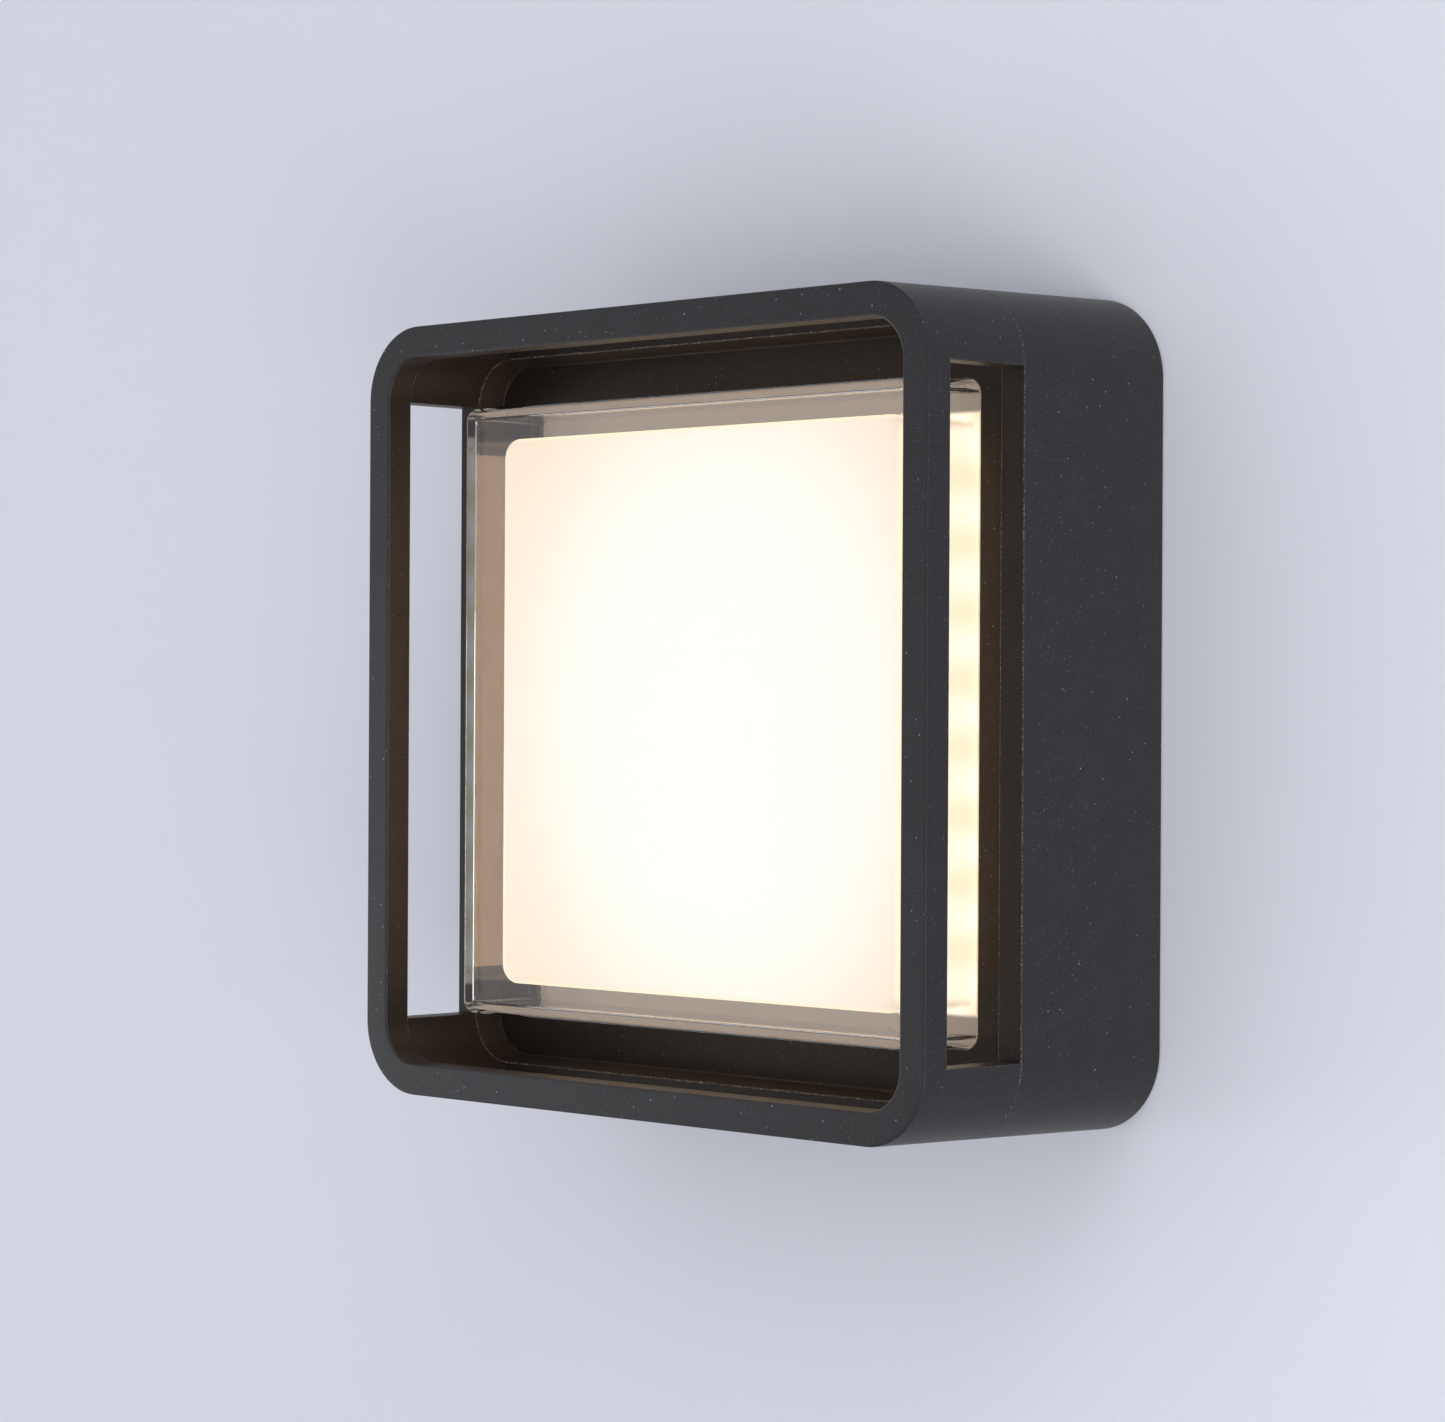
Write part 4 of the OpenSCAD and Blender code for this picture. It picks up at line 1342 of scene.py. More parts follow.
@dataclass
class RearHousing:
    """The hollow casting behind the cage, with its ledge, step, floor and bosses."""

    casing: Casing
    layout: "Layout"
    groove_outer: float = 19.14
    groove_width: float = 2.0
    groove_depth: float = 1.5
    edge: float = 0.3
    boss_radius: float = 4.0
    boss_end: float = 34.0
    column_radius: float = 4.5
    column_end: float = 13.5
    channel_radius: float = 3.0
    lock_radius: float = 2.05
    lock_depth: float = 5.5

    def add_bosses(self, obj: bpy.types.Object) -> None:
        """Adds the bosses and columns to the casting and drills every hole.

        Args:
            obj: the casting.
        """
        case, lay = self.casing, self.layout
        trapped_shade = case.floor_back + 1
        posts = [peg("boss", x, z, self.boss_radius, self.boss_end, trapped_shade) for x, z in lay.tray_bosses()]
        places = corners(lay.column_x, lay.column_z)
        posts += [peg("column", x, z, self.column_radius, self.column_end, trapped_shade) for x, z in places]
        combine(obj, posts, "UNION")
        hole = lay.screw_hole
        drills = [peg("drill", x, z, hole, self.boss_end - 1, 40.6, 20) for x, z in lay.tray_bosses()]
        drills += [peg("drill", x, z, hole, self.column_end - 1, 22.6, 20) for x, z in places]
        for x, z in corners(lay.frame_screw, lay.frame_screw):
            channel = [(0, -1), (self.channel_radius, -1), (self.channel_radius, case.floor_back)]
            channel += [(hole, case.floor_back), (hole, case.seam + 1), (0, case.seam + 1)]
            drill = lathe("drill", channel, 32)
            drill.data.transform(Matrix.Translation(Vector((x, 0, z)) * MM))
            drills.append(drill)
        for side in (-1, 1):
            ends = sorted((side * 96.0, side * 104.0))
            bore = lathe("bore", [(0, ends[0]), (self.lock_radius, ends[0]), (self.lock_radius, ends[1]), (0, ends[1])], 32)
            bore.data.transform(Matrix.Rotation(-math.pi / 2, 4, "X"))
            bore.data.transform(Matrix.Translation(Vector((0, -self.lock_depth, 0)) * MM))
            drills.append(bore)
        combine(obj, drills, "DIFFERENCE")

    def build(self, palette: Palette) -> bpy.types.Object:
        """Returns the finished housing.

        Args:
            palette: the finishes.
        """
        case = self.casing
        cover = case.cover_span
        edge = self.edge
        loft = Loft("housing_casting")
        loft.closed([
            case.loop(case.outer(0), 0, 0.3),
            case.loop(case.outer(case.seam), case.seam, edge),
            case.loop(case.ledge_radius, case.seam, edge),
            case.loop(case.step_radius, case.floor_front, 0.5),
            Loop(cover, case.opening_radius, case.floor_front, 0.3),
            Loop(cover, case.opening_radius, case.floor_back, 0.3),
            case.loop(case.cavity_radius, case.floor_back, 0.8),
            case.loop(case.cavity_radius, 0, 0.2),
            case.loop(self.groove_outer - self.groove_width, 0, 0.15),
            case.loop(self.groove_outer - self.groove_width, self.groove_depth, 0),
            case.loop(self.groove_outer, self.groove_depth, 0),
            case.loop(self.groove_outer, 0, 0.15),
        ])
        obj = loft.rounded(4)
        self.add_bosses(obj)
        smooth(obj)
        mark_edges(obj)
        case.coat(obj, palette)
        return hand_over(obj, "rear_housing", Slot.COAT, palette)


@dataclass
class LightUnit:
    """The clear cover, the opal diffuser inside it, and their seal."""

    cover_span: float = 76.0
    cover_radius: float = 3.5
    cover_draft: float = 0.016
    cover_wall: float = 2.5
    flange_radius: float = 9.6
    flange: float = 2.2
    floor_front: float = 42.1
    opal_span: float = 66.2
    opal_radius: float = 5.0
    opal_wall: float = 1.8
    opal_flange: float = 1.2
    flange_inset: float = 0.4
    inner_rounding: float = 0.9
    outer_rounding: float = 1.7

    def radius_at(self, depth: float) -> float:
        """Returns the clear cover's outer corner radius at a depth."""
        return self.cover_radius - self.cover_draft * (depth - self.floor_front)

    def clear_cover(self, palette: Palette) -> bpy.types.Object:
        """Returns the finished clear cover.

        Args:
            palette: the finishes.
        """
        back, front = depth_range("clear_cover")
        inner_front = front - self.cover_wall
        span = self.cover_span
        loft = Loft("clear_box")
        loft.capped([
            Loop(span, self.radius_at(inner_front) - self.cover_wall, inner_front, self.inner_rounding),
            Loop(span, self.radius_at(back) - self.cover_wall, back, 0.1),
            Loop(span, self.flange_radius, back, 0.3),
            Loop(span, self.flange_radius, back + self.flange, 0.3),
            Loop(span, self.radius_at(back + self.flange), back + self.flange, 0.3),
            Loop(span, self.radius_at(front), front, self.outer_rounding),
        ])
        obj = loft.rounded(5)
        smooth(obj)
        return hand_over(obj, "clear_cover", Slot.CLEAR, palette)

    def opal(self, palette: Palette) -> bpy.types.Object:
        """Returns the finished opal diffuser.

        Args:
            palette: the finishes.
        """
        back, front = depth_range("opal_diffuser")
        inner_front = front - self.opal_wall
        loft = Loft("opal_box")
        span = self.opal_span
        rim = self.flange_radius - self.flange_inset
        loft.capped([
            Loop(span, self.opal_radius - self.opal_wall, inner_front, 1.0),
            Loop(span, self.opal_radius - self.opal_wall, back, 0.1),
            Loop(self.cover_span, rim, back, 0.2),
            Loop(self.cover_span, rim, back + self.opal_flange, 0.2),
            Loop(span, self.opal_radius, back + self.opal_flange, 0.4),
            Loop(span, self.opal_radius, front, 2.2),
        ])
        obj = loft.rounded(6)
        smooth(obj)
        return hand_over(obj, "opal_diffuser", Slot.OPAL, palette)

    def build(self, palette: Palette) -> list[bpy.types.Object]:
        """Returns the finished cover and diffuser.

        Args:
            palette: the finishes.
        """
        return [self.clear_cover(palette), self.opal(palette)]


@dataclass
class PanScrew:
    """An M3 pan head screw with a thread and a cross recess, drawn on the depth axis."""

    shank: float = 1.5
    head: float = 2.75
    head_height: float = 2.0
    pitch: float = 0.5
    thread_depth: float = 0.2
    recess_width: float = 0.62
    recess_reach: float = 1.55
    recess_depth: float = 1.1

    def outline(self, length: float) -> list[Point2]:
        """Returns the outline of a screw whose seat is at depth 0 and whose shank points to +depth.

        Args:
            length: the length of the shank.
        """
        dome = [(0.0, -self.head_height), (0.55 * self.head, 0.04 - self.head_height)]
        for step in range(1, 6):
            turn = math.radians(18 * step)
            round_r = 0.45 * self.head
            dome.append((self.head - round_r + round_r * math.sin(turn), -self.head_height * (0.42 + 0.56 * math.cos(turn))))
        points = dome + [(self.head, -0.12), (self.head - 0.12, 0.0), (self.shank, 0.0)]
        turns = int((length - 1.6) / self.pitch)
        for i in range(turns):
            start = 0.6 + i * self.pitch
            points += [(self.shank, start), (self.shank - self.thread_depth, start + 0.5 * self.pitch)]
        end = 0.6 + turns * self.pitch
        return points + [(self.shank, end), (self.shank - 0.35, length), (0.0, length)]

    def model(self, length: float, flipped: bool) -> bpy.types.Object:
        """Returns one finished screw, out of the scene's view.

        Args:
            length: the length of its shank.
            flipped: True if its head is in front of its seat.
        """
        obj = lathe("screw_model", self.outline(length), 28)
        reach, half, top = self.recess_reach, self.recess_width / 2, -self.head_height
        bars = [
            block("bar", Vector((-reach, -top - self.recess_depth, -half)), Vector((reach, 1 - top, half))),
            block("bar", Vector((-half, -top - self.recess_depth, -reach)), Vector((half, 1 - top, reach))),
        ]
        for bar in bars:
            combine(obj, [bar], "DIFFERENCE")
        if flipped:
            obj.data.transform(Matrix.Scale(-1, 4, Vector((0, 1, 0))))
            obj.data.flip_normals()
        return smooth(obj, 32)


@dataclass(frozen=True)
class ScrewSet:
    """One kind of screw: its CAD node, its places, its seat and its length."""

    node: str
    places: tuple[Point2, ...]
    seat: float
    length: float
    flipped: bool = False


def corners(x: float, z: float) -> tuple[Point2, ...]:
    """Returns the four corners of a rectangle about the middle."""
    return tuple((i * x, k * z) for i in (-1, 1) for k in (-1, 1))


@dataclass
class Layout:
    """Places shared by the castings, the tray and the screws, in millimetres."""

    frame_screw: float = 91.947
    board_screw: float = 48.9
    tray_boss: float = 90.5
    boss_spread: float = 45.0
    column_x: float = 70.0
    column_z: float = 93.158
    driver_rise: float = 7.0
    driver_screw: float = 44.0
    terminal: Point2 = (-14.0, -48.0)
    terminal_fixing: float = 5.0
    earth: Point2 = (34.0, -40.0)
    wire_hole: Point2 = (-57.0, 24.0)
    wire_hole_radius: float = 3.2
    screw_hole: float = 1.55

    def tray_bosses(self) -> tuple[Point2, ...]:
        """Returns the places of the tray's screws."""
        return corners(self.tray_boss, self.boss_spread) + corners(self.boss_spread, self.tray_boss)

    def board_screws(self) -> tuple[Point2, ...]:
        """Returns the places of the LED board's screws."""
        return ((0.0, 0.0),) + corners(self.board_screw, self.board_screw)

    def driver_screws(self) -> tuple[Point2, ...]:
        """Returns the places of the driver's screws."""
        height = self.board_screw + self.driver_rise
        return ((-self.driver_screw, height), (self.driver_screw, height))

    def fixing(self) -> Point2:
        """Returns the place of the terminal block's own screw."""
        return (self.terminal[0] + self.terminal_fixing, self.terminal[1])


@dataclass
class Fasteners:
    """Every screw of the lamp."""

    layout: Layout
    screw: PanScrew = field(default_factory=PanScrew)
    lock_radius: float = 2.0
    lock_depth: float = 5.5
    socket: float = 1.15
    socket_depth: float = 2.0
    lock_pitch: float = 0.7

    def sets(self) -> list[ScrewSet]:
        """Returns the kinds of screw."""
        lay = self.layout
        return [
            ScrewSet("frame_screws", corners(lay.frame_screw, lay.frame_screw), 39.1, 20.0),
            ScrewSet("led_board_screws", lay.board_screws(), 35.6, 3.6, True),
            ScrewSet("tray_screws", lay.tray_bosses(), 32.0, 8.0),
            ScrewSet("driver_screws", lay.driver_screws(), 30.4, 3.6),
            ScrewSet("terminal_fixing_screw", (lay.fixing(),), 30.0, 4.0),
            ScrewSet("back_cover_screws", corners(lay.column_x, lay.column_z), 12.0, 10.0),
        ]

    def locking_screw(self, node: str, side: int, palette: Palette) -> bpy.types.Object:
        """Returns one finished locking screw.

        Args:
            node: its CAD node.
            side: 1 for the top and -1 for the bottom.
            palette: the finishes.
        """
        low, high = node_box(node)
        length = high.z - low.z
        radius, bite = self.lock_radius, 0.28
        points = [(0.0, 0.0), (radius - 0.9, 0.0), (radius - 0.5, 0.4)]
        turns = int((length - 1.4) / self.lock_pitch)
        for i in range(turns):
            start = 0.7 + i * self.lock_pitch
            points += [(radius, start), (radius - bite, start + self.lock_pitch / 2)]
        points += [(radius, length - 0.4), (radius - 0.35, length), (0.0, length)]
        obj = lathe(node + "_finished", points, 32)
        key = lathe("key", [(0, length - self.socket_depth), (self.socket, length - self.socket_depth), (self.socket, length + 1), (0, length + 1)], 6)
        combine(obj, [key], "DIFFERENCE")
        start = low.z if side > 0 else high.z
        turn = Matrix.Rotation(math.radians(90 * side), 4, "X") @ Matrix.Scale(-1, 4, Vector((0, 1, 0)))
        stand = Matrix(((1, 0, 0, 0), (0, 0, 1, 0), (0, -side, 0, 0), (0, 0, 0, 1)))
        obj.data.transform(stand)
        obj.data.transform(Matrix.Translation(Vector((0, -self.lock_depth, start)) * MM))
        if stand.determinant() < 0:
            obj.data.flip_normals()
        smooth(obj, 32)
        mark_edges(obj)
        return hand_over(obj, node, Slot.SCREW, palette, "top_lock" if side > 0 else "bottom_lock")

    def build(self, palette: Palette) -> list[bpy.types.Object]:
        """Returns every finished set of screws.

        Args:
            palette: the finishes.
        """
        copies = ScrewTree()
        made = []
        for seed, kind in enumerate(self.sets()):
            model = self.screw.model(kind.length, kind.flipped)
            spots = [place(x, z, kind.seat) for x, z in kind.places]
            obj = point_cloud(kind.node + "_finished", spots)
            finish = palette.materials[Slot.SCREW]
            run_tree(obj, copies.group, {"Screw": model, "Seed": seed, "Finish": finish})
            bpy.data.objects.remove(model)
            smooth(obj, 32)
            mark_edges(obj)
            made.append(hand_over(obj, kind.node, Slot.SCREW, palette))
        made.append(self.locking_screw("top_locking_screw", 1, palette))
        made.append(self.locking_screw("bottom_locking_screw", -1, palette))
        return made


@dataclass(frozen=True)
class Seal:
    """One seal: its CAD node, its path, its section and its finish."""

    node: str
    slot: Slot
    span: float
    outer: float
    inner: float
    rounding: float


class Seals:
    """The two seals, each swept round its own path."""

    kinds = (
        Seal("wall_gasket", Slot.FOAM, 81.2, 19.14, 17.14, 0.45),
        Seal("cover_gasket", Slot.SILICONE, 76.0, 9.2, 4.5, 0.5),
    )

    def build(self, palette: Palette) -> list[bpy.types.Object]:
        """Returns the finished seals.

        Args:
            palette: the finishes.
        """
        tree = SealTree()
        made = []
        for seal in self.kinds:
            back, front = depth_range(seal.node)
            middle = (seal.outer + seal.inner) / 2
            obj = point_cloud(seal.node + "_finished", [Vector((0, 0, 0))])
            values = {
                "Half width": (seal.span + middle) * MM,
                "Corner radius": middle * MM,
                "Section width": (seal.outer - seal.inner) * MM,
                "Section height": (front - back) * MM,
                "Section rounding": seal.rounding * MM,
                "Depth": (back + front) / 2 * MM,
                "Finish": palette.materials[seal.slot],
            }
            run_tree(obj, tree.group, values)
            smooth(obj)
            mark_edges(obj, 0.3)
            made.append(hand_over(obj, seal.node, seal.slot, palette))
        return made


def outline_points(span_x: float, span_z: float, radius: float, steps: int = 10) -> list[Point2]:
    """Returns a rectangle with round corners.

    Args:
        span_x: half the distance between the corner centres, across.
        span_z: half the distance between them, upwards.
        radius: the corner radius.
        steps: how many faces round each corner.
    """
    points = []
    for corner, (i, k) in enumerate(((1, 1), (-1, 1), (-1, -1), (1, -1))):
        for step in range(steps + 1):
            turn = math.radians(90 * corner + 90 * step / steps)
            points.append((i * span_x + radius * math.cos(turn), k * span_z + radius * math.sin(turn)))
    return points


def ring_points(x: float, z: float, radius: float, steps: int = 28) -> list[Point2]:
    """Returns a circle about a place."""
    turns = [2 * math.pi * i / steps for i in range(steps)]
    return [(x + radius * math.cos(t), z + radius * math.sin(t)) for t in turns]


def sheet_part(name: str, outline: Sequence[Point2], holes: Sequence[Sequence[Point2]], back: float, front: float, rounding: float) -> bpy.types.Object:
    """Returns a flat piece with holes and softly rounded edges.

    Args:
        name: the object's name.
        outline: its outer outline.
        holes: the outlines of its holes.
        back: the depth of its back face.
        front: the depth of its front face.
        rounding: the radius of its edges.
    """
    curve = bpy.data.curves.new(name, "CURVE")
    curve.dimensions = "2D"
    curve.fill_mode = "BOTH"
    curve.extrude = (front - back) / 2 * MM - rounding * MM
    curve.bevel_depth = rounding * MM
    curve.bevel_resolution = 2
    curve.offset = -rounding * MM
    for loop in (outline, *holes):
        spline = curve.splines.new("POLY")
        spline.points.add(len(loop) - 1)
        for point, (x, z) in zip(spline.points, loop):
            point.co = (x * MM, z * MM, 0, 1)
        spline.use_cyclic_u = True
    sketch = bpy.data.objects.new(name + "_sketch", curve)
    bpy.context.scene.collection.objects.link(sketch)
    graph = bpy.context.evaluated_depsgraph_get()
    mesh = bpy.data.meshes.new_from_object(sketch.evaluated_get(graph), depsgraph=graph)
    bpy.data.objects.remove(sketch)
    bm = bmesh.new()
    bm.from_mesh(mesh)
    bmesh.ops.remove_doubles(bm, verts=bm.verts, dist=0.001 * MM)
    bmesh.ops.recalc_face_normals(bm, faces=bm.faces[:])
    bm.to_mesh(mesh)
    bm.free()
    mesh.transform(Matrix.Translation(Vector((0, -(back + front) / 2, 0)) * MM) @ Matrix.Rotation(math.pi / 2, 4, "X"))
    mesh.materials.clear()
    return link_mesh(name, mesh)


@dataclass
class WallMount:
    """The steel bracket on the wall, with its slots and its two ears."""

    thickness: float = 2.0
    bend: float = 2.3
    inner_bend: float = 0.5
    width: float = 90.0
    half: float = 96.708
    ear_width: float = 60.0
    ear_depth: float = 9.0
    corner: float = 6.0
    cable_hole: float = 15.0
    slot_place: Point2 = (30.0, 60.0)
    slot_straight: float = 9.0
    slot_width: float = 5.0

    def strap(self) -> bpy.types.Object:
        """Returns the middle strip with both ears, bent from one sheet."""
        profile: list[Point2] = []
        for side in (1, -1):
            turns = range(0, 91, 15) if side > 0 else range(90, -1, -15)
            outer, inner = [], []
            for degrees in turns:
                turn = math.radians(degrees)
                outer.append((side * (self.half - self.bend + self.bend * math.sin(turn)), self.bend - self.bend * math.cos(turn)))
            profile += ([] if side > 0 else [(-self.half, self.ear_depth)]) + outer + ([(self.half, self.ear_depth)] if side > 0 else [])
            if side > 0:
                inner_z = self.half - self.thickness
                profile.append((inner_z, self.ear_depth))
                profile += self.inside(1)
                profile += self.inside(-1)
                profile.append((-inner_z, self.ear_depth))
        bm = bmesh.new()
        sides = []
        for x in (-self.ear_width / 2, self.ear_width / 2):
            sides.append([bm.verts.new(place(x, z, d)) for z, d in profile])
        count = len(profile)
        for i in range(count):
            j = (i + 1) % count
            bm.faces.new((sides[0][i], sides[0][j], sides[1][j], sides[1][i]))
        bm.faces.new(sides[0])
        bm.faces.new(list(reversed(sides[1])))
        bmesh.ops.recalc_face_normals(bm, faces=bm.faces[:])
        mesh = bpy.data.meshes.new("strap")
        bm.to_mesh(mesh)
        bm.free()
        return link_mesh("strap", mesh)

    def inside(self, side: int) -> list[Point2]:
        """Returns the inner bend of one ear, in the order that the strap's outline needs.

        Args:
            side: 1 for the upper ear and -1 for the lower.
        """
        radius = self.inner_bend
        centre = (self.half - self.thickness - radius, self.thickness + radius)
        points = []
        for degrees in range(0, 91, 15):
            turn = math.radians(degrees)
            points.append((side * (centre[0] + radius * math.cos(turn)), centre[1] - radius * math.sin(turn)))
        return points if side > 0 else list(reversed(points))

    def slot(self, x: float, z: float) -> bpy.types.Object:
        """Returns a cutting tool for one wall screw slot.

        Args:
            x: its centre across.
            z: its centre up.
        """
        radius = self.slot_width / 2
        points = []
        for side in (1, -1):
            for step in range(13):
                turn = math.radians(-90 + 15 * step + (0 if side > 0 else 180))
                points.append((x + side * self.slot_straight / 2 + radius * math.cos(turn), z + radius * math.sin(turn)))
        return self.punch("slot", points)

    def punch(self, name: str, points: Sequence[Point2]) -> bpy.types.Object:
        """Returns a cutting tool that goes through the plate.

        Args:
            name: the tool's name.
            points: its outline.
        """
        bm = bmesh.new()
        rows = [[bm.verts.new(place(x, z, d)) for x, z in points] for d in (-1, self.thickness + 1)]
        count = len(points)
        for i in range(count):
            j = (i + 1) % count
            bm.faces.new((rows[0][i], rows[0][j], rows[1][j], rows[1][i]))
        bm.faces.new(rows[0])
        bm.faces.new(list(reversed(rows[1])))
        bmesh.ops.recalc_face_normals(bm, faces=bm.faces[:])
        mesh = bpy.data.meshes.new(name)
        bm.to_mesh(mesh)
        bm.free()
        return link_mesh(name, mesh)

    def build(self, palette: Palette) -> bpy.types.Object:
        """Returns the finished bracket.

        Args:
            palette: the finishes.
        """
        obj = self.strap()
        obj.name = "bracket_plate"
        shoulder = self.half - self.ear_depth
        wing = outline_points(self.width / 2 - 3, shoulder - 3, 3)
        plate = self.punch("plate", wing)
        trim = [
            block("front", Vector((-60, -self.thickness - 5, -120)), Vector((60, -self.thickness, 120))),
            block("rear", Vector((-60, 0, -120)), Vector((60, 5, 120))),
        ]
        combine(plate, trim, "DIFFERENCE")
        combine(obj, [plate], "UNION")
        slots = [self.slot(x, z) for x, z in corners(*self.slot_place)]
        hole = self.punch("cable_hole", ring_points(0, 0, self.cable_hole, 48))
        combine(obj, slots + [hole], "DIFFERENCE")
        soften(obj, 0.2, 2)
        smooth(obj)
        mark_edges(obj, 0.3)
        return hand_over(obj, "wall_bracket", Slot.ZINC, palette, "bracket")


@dataclass
class BackClosing:
    """The sheet cover over the wiring space, with the bush for the mains cable."""

    casing: Casing
    layout: Layout
    cable: float = 4.2
    hole: float = 7.5
    flange: float = 9.5
    flange_back: float = 9.5
    inner_lip: float = 1.0

    def build(self, palette: Palette) -> list[bpy.types.Object]:
        """Returns the finished cover and bush.

        Args:
            palette: the finishes.
        """
        back, front = depth_range("back_cover")
        span = self.casing.corner_span
        reach = node_box("back_cover")[1].x
        radius = reach - span
        lay = self.layout
        holes = [ring_points(x, z, lay.screw_hole) for x, z in corners(lay.column_x, lay.column_z)]
        holes.append(ring_points(0, 0, self.hole, 40))
        cover = sheet_part("back_plate", outline_points(span, span, radius, 16), holes, back, front, 0.18)
        smooth(cover)
        mark_edges(cover, 0.3)
        hand_over(cover, "back_cover", Slot.ALUMINIUM, palette)
        return [cover, self.bush(palette)]

    def bush(self, palette: Palette) -> bpy.types.Object:
        """Returns the finished cable bush, with a waist round the cover's edge and a soft lip.

        Args:
            palette: the finishes.
        """
        low, high = depth_range("cable_grommet")
        back, front = depth_range("back_cover")
        lip = self.hole + self.inner_lip
        points = [
            (self.cable, low + 0.5), (self.cable + 0.5, low), (self.flange - 0.8, low), (self.flange - 0.25, low + 0.25),
            (self.flange, low + 0.8), (self.flange, back - 0.3), (self.flange - 0.3, back), (self.hole, back),
            (self.hole, front), (self.hole, high - 0.8), (self.hole - 0.6, high), (self.cable + 0.5, high), (self.cable, high - 0.5),
        ]
        obj = lathe("cable_bush", points, 48)
        smooth(obj, 50)
        return hand_over(obj, "cable_grommet", Slot.RUBBER, palette)


@dataclass
class LightEngine:
    """The LED board with its LEDs, on the aluminium tray."""

    casing: Casing
    layout: Layout
    reach: int = 4
    board_margin: float = 3.4
    tray_radius: float = 15.258
    column_clear: float = 5.1

    def board(self, palette: Palette) -> bpy.types.Object:
        """Returns the finished LED board.

        Args:
            palette: the finishes.
        """
        lay = self.layout
        back, front = depth_range("led_board")
        half = node_box("led_board")[1].x
        span = half - self.board_margin
        holes = [ring_points(x, z, lay.screw_hole, 20) for x, z in lay.board_screws()]
        holes.append(ring_points(*lay.wire_hole, lay.wire_hole_radius))
        obj = sheet_part("board", outline_points(span, span, self.board_margin), holes, back, front, 0.1)
        smooth(obj)
        return hand_over(obj, "led_board", Slot.BOARD, palette)

    def tray(self, palette: Palette) -> bpy.types.Object:
        """Returns the finished tray.

        Args:
            palette: the finishes.
        """
        lay = self.layout
        back, front = depth_range("gear_tray")
        span = self.casing.corner_span
        small = lay.tray_bosses() + lay.board_screws() + lay.driver_screws() + (lay.fixing(), lay.earth)
        holes = [ring_points(x, z, lay.screw_hole, 20) for x, z in small]
        holes.append(ring_points(*lay.wire_hole, lay.wire_hole_radius))
        notch = [peg("notch", x, z, self.column_clear, back - 1, front + 1) for x, z in corners(lay.column_x, lay.column_z)]
        obj = sheet_part("tray_plate", outline_points(span, span, self.tray_radius, 16), holes, back, front, 0.18)
        combine(obj, notch, "DIFFERENCE")
        smooth(obj)
        mark_edges(obj, 0.3)
        return hand_over(obj, "gear_tray", Slot.ALUMINIUM, palette)

    def led_model(self, palette: Palette) -> bpy.types.Object:
        """Returns one LED: a white package, two solder pads and a domed phosphor window.

        Args:
            palette: the finishes.
        """
        wide, high, thick = 2.8, 3.5, 0.8
        body = block("package", Vector((-wide / 2, -thick + 0.06, -high / 2)), Vector((wide / 2, 0, high / 2)))
        soften(body, 0.12, 2)
        palette.dress(body, Slot.BOARD)
        rings = [(0.0, thick), (0.45, thick - 0.005), (0.85, thick - 0.03), (1.12, thick - 0.08), (1.12, thick - 0.2), (0.0, thick - 0.2)]
        dome = lathe("window", rings, 20)
        palette.dress(dome, Slot.PHOSPHOR)
        pads = []
        for side in (-1, 1):
            low = side * (high / 2 - 0.25)
            pad = block("pad", Vector((-0.9, -0.22, low - 0.2)), Vector((0.9, -0.01, low + 0.2)))
            pads.append(palette.dress(pad, Slot.SCREW))
        model = body
        mesh = model.data
        bm = bmesh.new()
        bm.from_mesh(mesh)
        for piece, slot_index in ((dome, 1), (pads[0], 2), (pads[1], 2)):
            first = len(bm.faces)
            bm.from_mesh(piece.data)
            bm.faces.ensure_lookup_table()
            for face in bm.faces[first:]:
                face.material_index = slot_index
        bm.to_mesh(mesh)
        bm.free()
        mesh.materials.append(palette.materials[Slot.PHOSPHOR])
        mesh.materials.append(palette.materials[Slot.SCREW])
        for piece in (dome, *pads):
            bpy.data.objects.remove(piece)
        return model

    def leds(self, palette: Palette) -> bpy.types.Object:
        """Returns both finished rings of LEDs.

        Args:
            palette: the finishes.
        """
        back, front = depth_range("led_chips")
        half = node_box("led_board")[1].x
        pitch = (half - self.board_margin) / self.reach
        model = self.led_model(palette)
        obj = point_cloud("leds", [Vector((0, 0, 0))])
        values = {"LED": model, "Pitch": pitch * MM, "Reach": self.reach, "Depth": back * MM}
        run_tree(obj, LedTree().group, values)
        bpy.data.objects.remove(model)
        smooth(obj)
        return hand_over(obj, "led_chips", Slot.PHOSPHOR, palette)

    def build(self, palette: Palette) -> list[bpy.types.Object]:
        """Returns the finished board, LEDs and tray.

        Args:
            palette: the finishes.
        """
        return [self.board(palette), self.leds(palette), self.tray(palette)]


